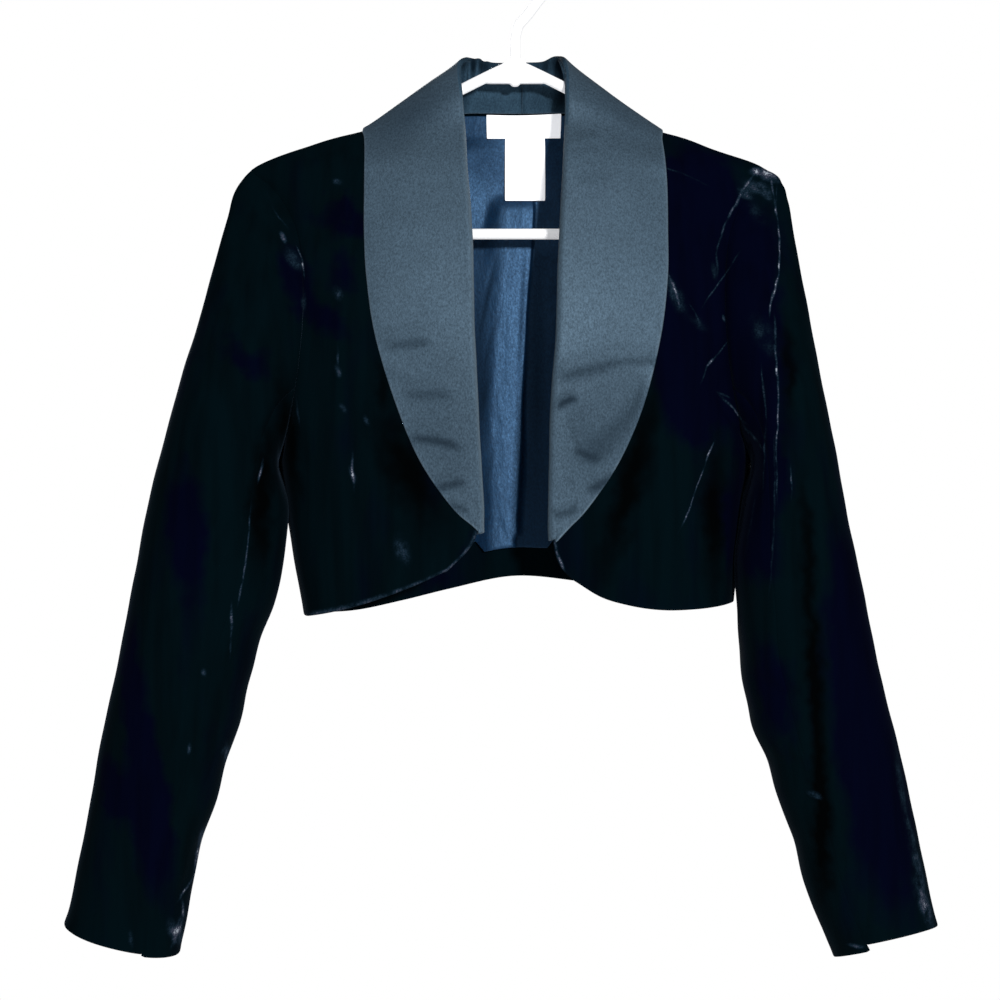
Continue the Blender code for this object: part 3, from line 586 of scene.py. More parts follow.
# How deep along Y the strokes reach
VELVET_REACH = 90.0
SATIN_REACH = 60.0
CRUSH_AND_HIGHLIGHT = {
    -1: table(
        STROKE,
        (-191, -187, -185, -204, 1.2, 0.30),
        (-186, -203, -173, -219, 1.0, 0.40),
        (-166, -233, -162, -243, 0.8, 0.75),
        (-163, -241, -160, -256, 0.9, 1.10),
        (-134, -311, -133, -326, 1.1, 0.45),
        (-122, -392, -121, -417, 1.3, 0.60),
        (-166, -346, -163, -369, 1.2, 0.35),
        (-188, -397, -191, -412, 1.1, 0.80),
        (-196, -432, -199, -461, 0.8, 0.55),
        (-199, -459, -202, -483, 0.9, 0.75),
        (-202, -481, -206, -502, 0.8, 0.80),
        (-211, -504, -212, -525, 1.3, 0.75),
        (-212, -522, -213, -543, 0.8, 0.50),
        (-237, -676, -242, -697, 1.8, 1.10),
        (-241, -692, -243, -712, 1.8, 1.00),
        (-243, -709, -253, -726, 1.0, 0.90),
        (-252, -724, -251, -742, 1.2, 0.80),
        (-251, -739, -258, -760, 2.2, 0.90),
        (-178, -223, -175, -229, 2.4, 1.10),
        (-173, -237, -163, -249, 5.5, 0.45),
        (-161, -267, -160, -284, 2.6, 0.35),
        (-138, -182, -133, -184, 3.2, 0.80),
        (-135, -267, -132, -273, 4.0, 0.50),
        (-134, -326, -132, -332, 2.8, 0.65),
        (-131, -355, -128, -359, 2.6, 0.55),
        (-112, -364, -110, -369, 2.2, 0.35),
        (-123, -403, -120, -412, 2.6, 0.60),
        (-86, -456, -83, -469, 6.5, 0.45),
        (-218, -611, -220, -629, 3.0, 0.60),
        (-232, -552, -231, -556, 2.0, 0.50),
        (-243, -608, -243, -614, 1.8, 0.60),
        (-258, -744, -254, -761, 4.5, 0.60),
        (-287, -748, -286, -757, 2.2, 0.50),
    ),
    1: table(
        STROKE,
        (113, -172, 128, -176, 1.0, 0.50),
        (126, -175, 147, -185, 0.9, 0.35),
        (184, -175, 174, -188, 1.3, 1.00),
        (174.5, -187, 169, -201, 1.5, 1.10),
        (169, -199, 161, -214, 1.1, 1.00),
        (161.5, -212, 155.5, -229, 1.0, 0.85),
        (155.5, -227, 152.5, -238, 0.9, 0.65),
        (152.5, -236, 153.5, -254, 1.1, 0.35),
        (197, -178, 198, -192, 1.2, 1.00),
        (198, -190, 200, -212, 1.1, 1.20),
        (200, -208, 201, -240, 1.0, 1.15),
        (201, -236, 198.5, -260, 0.9, 1.05),
        (198.5, -257, 193.5, -275, 0.9, 1.05),
        (193.5, -271, 190, -288, 0.9, 1.00),
        (201, -183, 199.5, -204, 0.9, 0.60),
        (194, -290, 194, -320, 1.1, 0.60),
        (194, -314, 195, -351, 1.0, 1.05),
        (195, -345, 193, -394, 0.8, 0.85),
        (193, -388, 193, -426, 0.8, 0.60),
        (184, -329, 186, -362, 0.8, 0.60),
        (186, -357, 184, -421, 0.8, 0.40),
        (171, -237, 161, -251, 0.8, 0.45),
        (163, -249, 142, -279, 0.8, 0.55),
        (115, -255, 120, -264, 1.2, 0.80),
        (119, -262, 123, -278, 1.2, 1.00),
        (131, -278, 138, -291, 0.9, 0.40),
        (157, -287, 158, -291, 1.4, 0.70),
        (162, -305, 148, -320, 0.8, 0.45),
        (150, -318, 144, -326, 1.1, 0.90),
        (145, -325, 139, -338, 0.8, 0.40),
        (153, -345, 163, -349, 1.0, 0.80),
        (154, -347, 166, -357, 1.2, 0.70),
        (164, -355, 174, -368, 1.0, 0.80),
        (172, -367, 184, -388, 0.9, 0.50),
        (149, -383, 143, -397, 0.9, 0.80),
        (144, -394, 133, -426, 0.7, 0.65),
        (134, -424, 123, -448, 0.8, 0.80),
        (203, -400, 203, -423, 0.9, 0.60),
        (179, -422, 172, -463, 0.9, 0.25),
        (192, -377, 191, -448, 0.9, 0.35),
        (191, -442, 188, -493, 0.9, 0.30),
        # A painted highlight on the head of the sleeve, where the puffed velvet turns to the light
        (182, -173, 194, -173, 4.0, 1.60),
        (188, -172, 203, -178, 6.5, 2.30),
        (172, -188, 181, -193, 4.5, 1.10),
        (178, -183, 193, -187, 7.0, 1.00),
        (190, -184, 197, -197, 4.0, 0.90),
        (180, -199, 188, -212, 7.0, 0.30),
        (114, -258, 125, -282, 6.5, 0.40),
        (181, -293, 193, -315, 8.0, 0.30),
        (150, -248, 151, -258, 3.0, 0.30),
        (284, -609, 293, -665, 4.0, 0.35),
        (292, -662, 309, -729, 5.0, 0.50),
        (300, -714, 312, -744, 6.0, 0.70),
        (219, -643, 225, -646, 3.0, 0.50),
        (250, -759, 259, -759, 2.0, 0.60),
        (135, -290, 142, -296, 5.0, 0.25),
        (28.5, -455, 30.5, -467, 1.6, 0.9),
        (30.5, -465, 35.5, -478, 1.6, 0.8),
    ),
    0: table(
        STROKE,
        (-170, -236, -159, -258, 1.1, 0.70),
        (-160, -256, -154, -286, 0.9, 0.45),
        (-150, -276, -132, -300, 5.0, 0.30),
        (152, -240, 124, -262, 0.9, 0.80),
        (126, -260, 96, -286, 1.2, 0.50),
        (-36, -360, -42, -410, 0.9, 0.70),
        (-42, -406, -44, -452, 0.8, 0.50),
        (120, -180, 66, -188, 4.5, 0.30),
        (52, -400, 56, -470, 1.0, 0.60),
        (-8, -214, 4, -236, 4.0, 0.35),
        (-104, -382, -92, -402, 5.0, 0.35),
    ),
}
# Painted sheen: an indigo cast where the pile catches the light, strongest on the wearer's left front
PAINTED_SHEEN_STROKES = {
    -1: table(
        STROKE,
        (-146, -205, -118, -216, 16, 0.7),
        (-131, -245, -128, -269, 12, 0.6),
        (-149, -285, -131, -297, 14, 0.6),
        (-173, -236, -160, -278, 12, 0.7),
        (-208, -317, -190, -330, 14, 0.6),
        (-245, -409, -240, -495, 17, 0.9),
        (-291, -516, -290, -576, 10, 0.6),
        (-281, -568, -267, -703, 18, 1.0),
        (-306, -622, -293, -659, 14, 0.7),
        (-34, -462, -28, -482, 14, 0.8),
    ),
    1: table(
        STROKE,
        (138, -175, 142, -299, 46, 1.6),
        (153, -194, 164, -276, 40, 1.2),
        (125, -317, 131, -370, 24, 1.0),
        (168, -270, 172, -356, 30, 1.2),
        (183, -370, 187, -426, 18, 1.0),
        (169, -430, 181, -478, 22, 0.9),
        (247, -471, 276, -703, 30, 1.5),
        (190, -531, 195, -605, 15, 0.7),
    ),
    0: table(
        STROKE,
        (-120, -230, -104, -330, 34, 1.0),
        (70, -300, 84, -430, 30, 1.0),
        (-20, -190, 40, -240, 24, 0.7),
        (-66, -420, -60, -480, 22, 0.8),
    ),
}
# Painted shadow: black streaks in the folds, and the shadow under the collar's tip
PAINTED_SHADOW_STROKES = {
    -1: table(
        STROKE,
        (-175, -340, -166, -424, 8, 1.2),
        (-99, -326, -98, -350, 7, 0.8),
        (-98, -368, -62, -440, 20, 1.1),
        (-184, -375, -193, -475, 9, 1.1),
    ),
    1: table(
        STROKE,
        (211, -407, 217, -501, 6, 1.0),
        (217, -486, 223, -620, 8, 1.3),
        (223, -605, 232, -725, 8, 1.3),
        (102, -352, 66, -480, 14, 1.1),
        (151, -390, 148, -486, 11, 1.1),
        (203, -297, 203, -360, 6, 0.9),
    ),
    0: table(
        STROKE,
        (-150, -300, -140, -420, 10, 1.0),
        (20, -250, 28, -380, 9, 0.9),
        (130, -330, 124, -460, 9, 1.0),
    ),
}


def smooth(keys, values, at):
    """A smooth curve through the values, at keys that rise."""
    gaps = np.diff(keys)
    rises = np.diff(values) / gaps
    slopes = np.empty_like(values)
    slopes[1:-1] = (rises[:-1] * gaps[1:] + rises[1:] * gaps[:-1]) / (gaps[:-1] + gaps[1:])
    slopes[0] = rises[0]
    slopes[-1] = rises[-1]
    at = np.clip(at, keys[0], keys[-1])
    i = np.clip(np.searchsorted(keys, at, side="right") - 1, 0, len(gaps) - 1)
    t = (at - keys[i]) / gaps[i]
    hold = (1 + 2 * t) * (1 - t) ** 2 * values[i] + t * t * (3 - 2 * t) * values[i + 1]
    lean = t * (1 - t) ** 2 * slopes[i] - t * t * (1 - t) * slopes[i + 1]
    return hold + gaps[i] * lean


def by_row(rows, column, at):
    """A column of a table as a smooth function of its row number."""
    return smooth(np.arange(len(rows[column]), dtype=float), rows[column], at)


def ease(t):
    """A rise from 0 to 1 that starts and ends softly."""
    t = np.clip(t, 0, 1)
    return t * t * (3 - 2 * t)


def mix(a, b, t):
    return a + (b - a) * t


def bell(off, width):
    """A soft bump: 1 in the middle, and almost nothing at twice its width."""
    return np.exp(-((off / width) ** 2))


def turn_from(turn, where):
    """The shortest way round to a turn from another, in degrees."""
    return (turn - where + 180) % 360 - 180


def unit(v):
    return v / np.maximum(np.linalg.norm(v, axis=-1, keepdims=True), 1e-9)


def ring_x(angle, square):
    return (np.sin(angle) + square * np.sin(3 * angle)) / (1 - square)


def ring_y(angle, square):
    return -(np.cos(angle) - square * np.cos(3 * angle)) / (1 - square)


def torso(angle, z):
    """Middle surface of the body's cloth; the angle runs from centre front towards +X and round."""
    angle, z = np.broadcast_arrays(np.asarray(angle, float), np.asarray(z, float))
    a = np.radians(angle)
    size = {column: smooth(TORSO["z"], TORSO[column], z) for column in TORSO if column != "z"}
    half = np.where(np.sin(a) >= 0, size["right"], size["left"])
    deep = np.where(np.cos(a) >= 0, size["front"], size["back"])
    points = np.stack([half * ring_x(a, size["square"]), deep * ring_y(a, size["square"]), z], -1)
    lift = np.zeros(z.shape)
    for where, width, depth, top in zip(*BODY_FOLDS.values()):
        opened = ease((top - z) / (top - FOLDS_OPEN_Z))
        lift += depth * bell(turn_from(angle, where), width) * opened
    outward = unit(np.stack([np.sin(a) / half, -np.cos(a) / deep, np.zeros(z.shape)], -1))
    return points + lift[..., None] * outward


def torso_normal(angle, z):
    round_it = torso(angle + STEP, z) - torso(angle - STEP, z)
    up_it = torso(angle, z + STEP) - torso(angle, z - STEP)
    return unit(np.cross(round_it, up_it))


def angle_at(x, z, face):
    """The angle round the body of a point x out from the middle at height z, in front or behind."""
    x, z, face = np.broadcast_arrays(*(np.asarray(v, float) for v in (x, z, face)))
    half = np.where(x >= 0, smooth(TORSO["z"], TORSO["right"], z), smooth(TORSO["z"], TORSO["left"], z))
    square = smooth(TORSO["z"], TORSO["square"], z)
    reach = np.minimum(np.abs(x) / half, 1)
    low = np.zeros(x.shape)
    high = np.full(x.shape, np.pi / 2)
    for _ in range(HALVINGS):
        middle = (low + high) / 2
        short = ring_x(middle, square) < reach
        low = np.where(short, middle, low)
        high = np.where(short, high, middle)
    out = np.degrees(high)
    return np.where(x >= 0, 1, -1) * np.where(face < 0, out, 180 - out)


def armhole(side, turn):
    """Angle and height of the armhole: turn 0 at the shoulder, 90 in front, 180 at the armpit."""
    t = np.radians(turn)
    z = mix(ARMPIT_Z, SHOULDER_Z, 0.5 + 0.5 * np.cos(t))
    swing = np.where(np.sin(t) >= 0, ARMHOLE_FRONT, ARMHOLE_BACK) * np.sin(t)
    return side * (90 - swing), z


def under_arm(turn):
    """How far a turn is under the arm, where sleeve and body hang side by side: 1 at the armpit."""
    return ease((UNDER_ARM_TURN - np.abs((turn % 360) - 180)) / UNDER_ARM_FADE)


def sleeve_ring(side, turn, at):
    """An oval section of a sleeve, turn 0 at its outer edge and 90 in front."""
    rows = SLEEVE_RIGHT if side > 0 else SLEEVE_LEFT
    turn, at = np.broadcast_arrays(np.asarray(turn, float), np.asarray(at, float))
    t = np.radians(turn)
    size = {column: by_row(rows, column, at) for column in rows}
    x = mix(size["inner_x"], size["outer_x"], 0.5 + 0.5 * np.cos(t))
    z = mix(size["inner_z"], size["outer_z"], 0.5 + 0.5 * np.cos(t))
    y = size["y"] - size["depth"] * np.sin(t)
    return np.stack([side * x, y, z - size["dip"] * np.sin(t)], -1)


def sleeve(side, turn, at):
    """Middle surface of a sleeve: its first section is the armhole, and the shape fades into ovals."""
    turn, at = np.broadcast_arrays(np.asarray(turn, float), np.asarray(at, float))
    points = sleeve_ring(side, turn, at)
    place = armhole(side, turn)
    aside = torso_normal(*place) * under_arm(turn)[..., None] * (UNDER_ARM_ROOM + 2 * SEAM_GAP)
    cut = torso(*place) + aside - sleeve_ring(side, turn, 0)
    points = points + (1 - ease(at / CAP_SECTIONS))[..., None] * cut
    lift = np.zeros(turn.shape)
    for row, where, along, around, height in zip(*SLEEVE_FOLDS[side].values()):
        lift += height * bell(turn_from(turn, where), around) * bell(at - row, along)
    t = np.radians(turn)
    outward = np.stack([side * np.cos(t), -np.sin(t), 0 * t], -1)
    return points + lift[..., None] * outward


def sleeve_normal(side, turn, at):
    below = np.minimum(at + SECTION_STEP, SECTIONS)
    above = np.maximum(at - SECTION_STEP, 0)
    round_it = sleeve(side, turn + STEP, at) - sleeve(side, turn - STEP, at)
    down_it = sleeve(side, turn, below) - sleeve(side, turn, above)
    return side * unit(np.cross(round_it, down_it))


def armhole_seam(side, turn):
    """The seam's points, the normals of body and sleeve there, and the way from it into the sleeve."""
    turn = np.asarray(turn, float)
    angle, z = armhole(side, turn)
    body_out = torso_normal(angle, z)
    sleeve_out = sleeve_normal(side, turn, 0 * turn)
    shared = unit(body_out + sleeve_out)
    run = unit(torso(*armhole(side, turn + STEP)) - torso(*armhole(side, turn - STEP)))
    across = np.cross(run, shared)
    into = sleeve(side, turn, 0 * turn + INTO_SLEEVE) - sleeve(side, turn, 0 * turn)
    across = across * np.sign(np.sum(across * into, -1, keepdims=True))
    under = under_arm(turn)[..., None]
    body_out = unit(mix(shared, body_out, under))
    sleeve_out = unit(mix(shared, sleeve_out, under))
    return torso(angle, z), body_out, sleeve_out, across * (1 - under)


def along_crease(points, outward, row):
    """How far points are off a crease, towards its left, and how strong it is there."""
    x0, z0, x1, z1, face, bow = (row[column] for column in "x0 z0 x1 z1 face bow".split())
    length = np.hypot(x1 - x0, z1 - z0)
    run_x = (x1 - x0) / length
    run_z = (z1 - z0) / length
    dx = points[..., 0] - x0
    dz = points[..., 2] - z0
    t = (dx * run_x + dz * run_z) / length
    off = dz * run_x - dx * run_z - bow * 4 * t * (1 - t)
    ends = ease((CREASE_PAST + t) / CREASE_FADE) * ease((CREASE_PAST + 1 - t) / CREASE_FADE)
    return off, ends * ease(0.5 + CREASE_TURN * face * outward[..., 1])


def crease_lift(points, outward, rows):
    """Height of the listed creases: soft troughs with a low ridge along one side, or stiff ridges."""
    lift = np.zeros(points.shape[:-1])
    for values in zip(*rows.values()):
        row = dict(zip(rows, values))
        width = row["width"]
        off, strength = along_crease(points, outward, row)
        if "easy" in row:
            shape = ease(1 - np.where(off > 0, off / row["easy"], -off / width))
        else:
            bank = bell(off - BANK_OFF * width, BANK_WIDTH * width)
            shape = BANK_HEIGHT * bank - bell(off, width)
        lift += row["depth"] * strength * shape
    return lift


def painted_crease_shade(points, outward, rows):
    """How much painted shade falls on the steep sides of stiff creases."""
    shade = np.zeros(points.shape[:-1])
    for values in zip(*rows.values()):
        row = dict(zip(rows, values))
        off, strength = along_crease(points, outward, row)
        steep = bell(off / row["width"] + STEEP_AT, STEEP_WIDTH)
        shade += row["dark"] * strength * steep
    return shade


def drift(points):
    """Slow unevenness of hanging cloth, under a millimetre high and 60 to 330 mm from crest to crest."""
    x, y, z = np.moveaxis(points, -1, 0)
    slow = np.sin(x / 19 + z / 31 + 0.6) * np.sin(z / 37 - x / 53 + y / 29)
    quick = np.sin(x / 9 - z / 14 + y / 17) * np.sin(z / 11 + x / 23 + 1.9)
    return 0.55 * slow + 0.22 * quick


def from_edge(grid, edge):
    """Distance from one edge of a grid, measured along the cloth."""
    axis = 1 if edge in ("first column", "last column") else 0
    steps = np.linalg.norm(np.diff(grid, axis=axis), axis=-1)
    start = np.zeros_like(np.take(steps, [0], axis=axis))
    far = np.concatenate([start, np.cumsum(steps, axis=axis)], axis=axis)
    if edge.startswith("last"):
        far = np.take(far, [-1], axis=axis) - far
    return far


def linear(colour):
    """An sRGB hex colour as the linear values that a shader takes."""
    parts = np.array([int(colour[i : i + 2], 16) for i in (1, 3, 5)]) / 255
    values = np.where(parts <= 0.04045, parts / 12.92, ((parts + 0.055) / 1.055) ** 2.4)
    return (*(float(v) for v in values), 1.0)


def add(tree, kind, inputs=None, **settings):
    """Adds a node with its settings; an input is a value, a socket, or a node for its first output."""
    made = tree.nodes.new(kind)
    for key, value in settings.items():
        setattr(made, key, value)
    for key, value in (inputs or {}).items():
        if isinstance(value, bpy.types.Node):
            value = value.outputs[0]
        if isinstance(value, bpy.types.NodeSocket):
            tree.links.new(value, made.inputs[key])
        else:
            made.inputs[key].default_value = value
    return made


def look(name, **sockets):
    """A new material with its shader's constant values set."""
    made = bpy.data.materials.new(name)
    made.use_nodes = True
    shader = made.node_tree.nodes["Principled BSDF"]
    for key, value in sockets.items():
        shader.inputs[key.replace("_", " ")].default_value = value
    return made, made.node_tree, shader


def per_mm(size):
    """A pattern's scale, from the size in millimetres of one of its grains."""
    return 1 / (size * MM)


def strokes(tree, place, rows, start, y, reach):
    """Soft strokes laid from place to place, added up from a start; reach is their half depth along Y."""
    total = start
    depths = rows.get("y", y + 0 * rows["x0"])
    flat = [rows[column] for column in STROKE.split()]
    for (x0, z0, x1, z1, width, strength), at_y in zip(zip(*flat), depths):
        half_run = STROKE_RUN * np.hypot(x1 - x0, z1 - z0) + width
        spot = add(
            tree,
            "ShaderNodeMapping",
            {
                "Vector": place,
                "Location": (0.5 * (x0 + x1) * MM, at_y * MM, 0.5 * (z0 + z1) * MM),
                "Rotation": (0, float(np.arctan2(z0 - z1, x1 - x0)), 0),
                "Scale": (half_run * MM, reach * MM, STROKE_WIDE * width * MM),
            },
            vector_type="TEXTURE",
        )
        fade = add(tree, "ShaderNodeTexGradient", {"Vector": spot}, gradient_type="SPHERICAL")
        soft = add(
            tree,
            "ShaderNodeMapRange",
            {"Value": fade.outputs["Fac"], "To Max": strength},
            interpolation_type="SMOOTHSTEP",
        )
        total = add(tree, "ShaderNodeMath", {0: soft, 1: total}, operation="ADD").outputs[0]
    return total


# Velvet's patterns in millimetres: handling that bends the strokes, clouds along the run of the pile,
# bruises, combed streaks, and tufts drawn 1.2 mm across because the real 0.3 mm is too fine to show
HANDLING = 16.0
CLOUD = 30.0
BRUISE = 8.0
COMBED = 11.0
TUFT = 1.2
TUFT_HEIGHT = 0.3
# How far handling bends the crushed lines and the patches of painted sheen and painted shadow, across and
# down
LINE_BEND = (3.5 * MM, 0, 3.5 * MM)
PATCH_BEND = (14 * MM, 0, 36 * MM)


def velvet(name, part, face_y):
    """Silk velvet: cut pile that swallows light face on and pales if crushed, with painted sheen and shadow.
    """
    made, tree, shader = look(
        name,
        Roughness=0.9,
        Sheen_Weight=0.06,
        Sheen_Roughness=0.3,
        Sheen_Tint=linear("#7F9CBE"),
        Specular_IOR_Level=0.015,
    )
    place = add(tree, "ShaderNodeTexCoord").outputs["Object"]
    handling = add(tree, "ShaderNodeTexNoise", {"Vector": place, "Scale": per_mm(HANDLING), "Detail": 2})
    pushed = add(
        tree,
        "ShaderNodeVectorMath",
        {0: handling.outputs["Color"], 1: (0.5, 0.5, 0.5)},
        operation="SUBTRACT",
    ).outputs[0]
    bent, ragged = (
        add(tree, "ShaderNodeVectorMath", {0: pushed, 1: bend, 2: place}, operation="MULTIPLY_ADD")
        for bend in (LINE_BEND, PATCH_BEND)
    )
    wear_and_shade = add(tree, "ShaderNodeAttribute", attribute_name="wear_and_shade").outputs["Fac"]
    crush_and_highlight = strokes(tree, bent, CRUSH_AND_HIGHLIGHT[part], wear_and_shade, face_y, VELVET_REACH)
    painted_sheen = strokes(tree, ragged, PAINTED_SHEEN_STROKES[part], 0.0, face_y, VELVET_REACH)
    painted_shadow = strokes(tree, ragged, PAINTED_SHADOW_STROKES[part], 0.0, face_y, VELVET_REACH)
    # Cloudy patches, three times as tall as wide, and the painted sheen turn it from green black to indigo
    tall = add(tree, "ShaderNodeMapping", {"Vector": place, "Scale": (1, 1, 0.33)})
    cloud = add(tree, "ShaderNodeTexNoise", {"Vector": tall, "Scale": per_mm(CLOUD), "Detail": 3})
    lean = add(tree, "ShaderNodeMath", {0: cloud, 1: painted_sheen}, operation="ADD")
    cast = add(tree, "ShaderNodeValToRGB", {"Fac": lean})
    cast.color_ramp.elements[0].position = 0.52
    cast.color_ramp.elements[0].color = linear("#010C11")
    cast.color_ramp.elements[1].position = 0.92
    cast.color_ramp.elements[1].color = linear("#010314")
    # Combed streaks are a little deeper, and painted shadow takes nearly all the light away
    streak = add(tree, "ShaderNodeMapping", {"Vector": place, "Scale": (1, 1, 0.08)})
    comb = add(tree, "ShaderNodeTexNoise", {"Vector": streak, "Scale": per_mm(COMBED), "Detail": 2})
    depth = add(
        tree,
        "ShaderNodeMapRange",
        {"Value": comb, "From Min": 0.3, "From Max": 0.6, "To Min": 0.75, "To Max": 1.08},
    )
    shadow_dark = add(tree, "ShaderNodeMapRange", {"Value": painted_shadow, "To Min": 1.0, "To Max": 0.12})
    shade = add(tree, "ShaderNodeMath", {0: depth, 1: shadow_dark}, operation="MULTIPLY")
    dark = add(tree, "ShaderNodeVectorMath", {0: cast, "Scale": shade}, operation="SCALE")
    # Crushed pile and the painted highlight are patchy, and broken up by the tufts
    tuft = add(tree, "ShaderNodeTexNoise", {"Vector": place, "Scale": per_mm(TUFT), "Detail": 2})
    patchy = add(tree, "ShaderNodeTexNoise", {"Vector": place, "Scale": per_mm(BRUISE), "Detail": 3})
    uneven = add(
        tree,
        "ShaderNodeMapRange",
        {"Value": patchy, "From Min": 0.33, "From Max": 0.62, "To Min": 0.25, "To Max": 1.15},
    )
    broken = add(
        tree,
        "ShaderNodeMapRange",
        {"Value": tuft, "From Min": 0.3, "From Max": 0.7, "To Min": 0.45, "To Max": 1.2},
    )
    rough = add(tree, "ShaderNodeMath", {0: uneven, 1: broken}, operation="MULTIPLY")
    pale = add(tree, "ShaderNodeMath", {0: crush_and_highlight, 1: rough}, operation="MULTIPLY", use_clamp=True)
    # It glows teal blue where it is barely crushed and goes pale grey where it lies flat, as does the
    # painted highlight
    bruise = add(tree, "ShaderNodeValToRGB", {"Fac": pale})
    bruise.color_ramp.elements[0].color = linear("#040F18")
    bruise.color_ramp.elements[1].color = linear("#9AA3AE")
    bruise.color_ramp.elements.new(0.35).color = linear("#162633")
    bruise.color_ramp.elements.new(0.7).color = linear("#434757")
    shown = add(tree, "ShaderNodeMapRange", {"Value": pale, "From Max": 0.3})
    mixed = add(tree, "ShaderNodeMix", {"Factor": shown, "A": dark, "B": bruise}, data_type="RGBA")
    tree.links.new(mixed.outputs["Result"], shader.inputs["Base Color"])
    pile = add(tree, "ShaderNodeBump", {"Height": tuft, "Strength": 0.3, "Distance": TUFT_HEIGHT * MM})
    tree.links.new(pile.outputs[0], shader.inputs["Normal"])
    return made


# Height of a thread over its neighbours in satin, drawn with the coarser grain
THREAD_HEIGHT = 0.12


def satin(name, deep, pale, lustre, level, roughness, uneven, grain, crinkle, shaded, shades, deepest):
    """Woven satin: a smooth face whose threads give a coloured lustre, a fine grain, slow tones, and painted
    light and shade.
    """
    made, tree, shader = look(
        name,
        Roughness=roughness,
        Specular_IOR_Level=level,
        Specular_Tint=linear(lustre),
    )
    place = add(tree, "ShaderNodeTexCoord").outputs["Object"]
    drawn = add(tree, "ShaderNodeMapping", {"Vector": place, "Scale": (1, 1, 0.6)})
    thread = add(
        tree,
        "ShaderNodeTexNoise",
        {"Vector": drawn, "Scale": per_mm(grain), "Detail": 2, "Roughness": 0.7},
    ).outputs["Fac"]
    shade = add(tree, "ShaderNodeValToRGB", {"Fac": thread})
    shade.color_ramp.elements[0].position = 0.3
    shade.color_ramp.elements[0].color = linear(deep)
    shade.color_ramp.elements[1].position = 0.7
    shade.color_ramp.elements[1].color = linear(pale)
    tone = add(tree, "ShaderNodeTexNoise", {"Vector": place, "Scale": per_mm(BLOTCH), "Detail": 2})
    slow = add(
        tree,
        "ShaderNodeMapRange",
        {"Value": tone, "From Min": 0.3, "From Max": 0.7, "To Min": 0.92, "To Max": 1.08},
    )
    toned = add(tree, "ShaderNodeVectorMath", {0: shade, "Scale": slow}, operation="SCALE")
    polish = add(
        tree,
        "ShaderNodeMapRange",
        {
            "Value": thread,
            "From Min": 0.3,
            "From Max": 0.7,
            "To Min": roughness + uneven,
            "To Max": roughness - uneven,
        },
    )
    # Painted shade darkens the steep sides of the creases, which are marked on the cloth, and what its
    # strokes cover
    crease_shade_and_highlight = add(tree, "ShaderNodeAttribute", attribute_name="wear_and_shade").outputs["Fac"]
    painted_shade = strokes(tree, place, shades, crease_shade_and_highlight, 0.0, SATIN_REACH)
    painted_shade = add(tree, "ShaderNodeMath", {0: painted_shade, 1: deepest}, operation="MINIMUM").outputs[0]
    gloss = add(tree, "ShaderNodeMath", {0: painted_shade, 1: DULLED, 2: polish}, operation="MULTIPLY_ADD")
    tree.links.new(gloss.outputs[0], shader.inputs["Roughness"])
    shaded_tone = add(
        tree,
        "ShaderNodeMix",
        {"Factor": painted_shade, "A": toned, "B": linear(shaded)},
        data_type="RGBA",
    )
    # A painted highlight on the fold and the outer edge, marked below nought, lightens the colour
    edge = add(tree, "ShaderNodeMapRange", {"Value": crease_shade_and_highlight, "From Min": 0.0, "From Max": -1.0})
    lit = add(
        tree,
        "ShaderNodeMix",
        {"Factor": edge, "A": shaded_tone.outputs["Result"], "B": linear(PAINTED_HIGHLIGHT)},
        data_type="RGBA",
    )
    tree.links.new(lit.outputs["Result"], shader.inputs["Base Color"])
    # Loose cloth is crinkled along its drop, under the weave
    slant = add(tree, "ShaderNodeMapping", {"Vector": place, "Rotation": (0, 0.3, 0), "Scale": (1, 1, 0.4)})
    crumple = add(tree, "ShaderNodeTexNoise", {"Vector": slant, "Scale": per_mm(CRINKLE), "Detail": 3})
    rumple = add(tree, "ShaderNodeBump", {"Height": crumple, "Distance": crinkle * MM})
    weave = add(
        tree,
        "ShaderNodeBump",
        {
            "Height": thread,
            "Strength": 0.5,
            "Distance": THREAD_HEIGHT * MM,
            "Normal": rumple,
        },
    )
    tree.links.new(weave.outputs[0], shader.inputs["Normal"])
    return made


# White tape and plastic are painted with a glow of their own, so that they stay white in shade
GLOW_COLOUR = "#F6F8FF"
TAPE_GLOW = 0.5
PLASTIC_GLOW = 0.34
# Spacing and height of the tape's ribs, and size of the plastic's flow marks
RIB = 0.9
RIB_HEIGHT = 0.06
FLOW = 14.0


def woven_tape(name):
    """White polyester label tape, woven close, with ribs drawn 0.9 mm apart so that they show."""
    made, tree, shader = look(
        name,
        Roughness=0.65,
        # A painted glow keeps the tape white in shade
        Emission_Color=linear(GLOW_COLOUR),
        Emission_Strength=TAPE_GLOW,
    )
    along = add(tree, "ShaderNodeTexCoord").outputs["UV"]
    ribs = add(
        tree,
        "ShaderNodeTexWave",
        {"Vector": along, "Scale": per_mm(RIB) * np.pi / 10, "Distortion": 0.4},
        bands_direction="Y",
    )
    shade = add(tree, "ShaderNodeValToRGB", {"Fac": ribs.outputs["Fac"]})
    shade.color_ramp.elements[0].color = linear("#F4F4F3")
    shade.color_ramp.elements[1].color = linear("#FBFBFA")
    tree.links.new(shade.outputs["Color"], shader.inputs["Base Color"])
    weave = add(
        tree,
        "ShaderNodeBump",
        {"Height": ribs.outputs["Fac"], "Strength": 0.2, "Distance": RIB_HEIGHT * MM},
    )
    tree.links.new(weave.outputs[0], shader.inputs["Normal"])
    return made


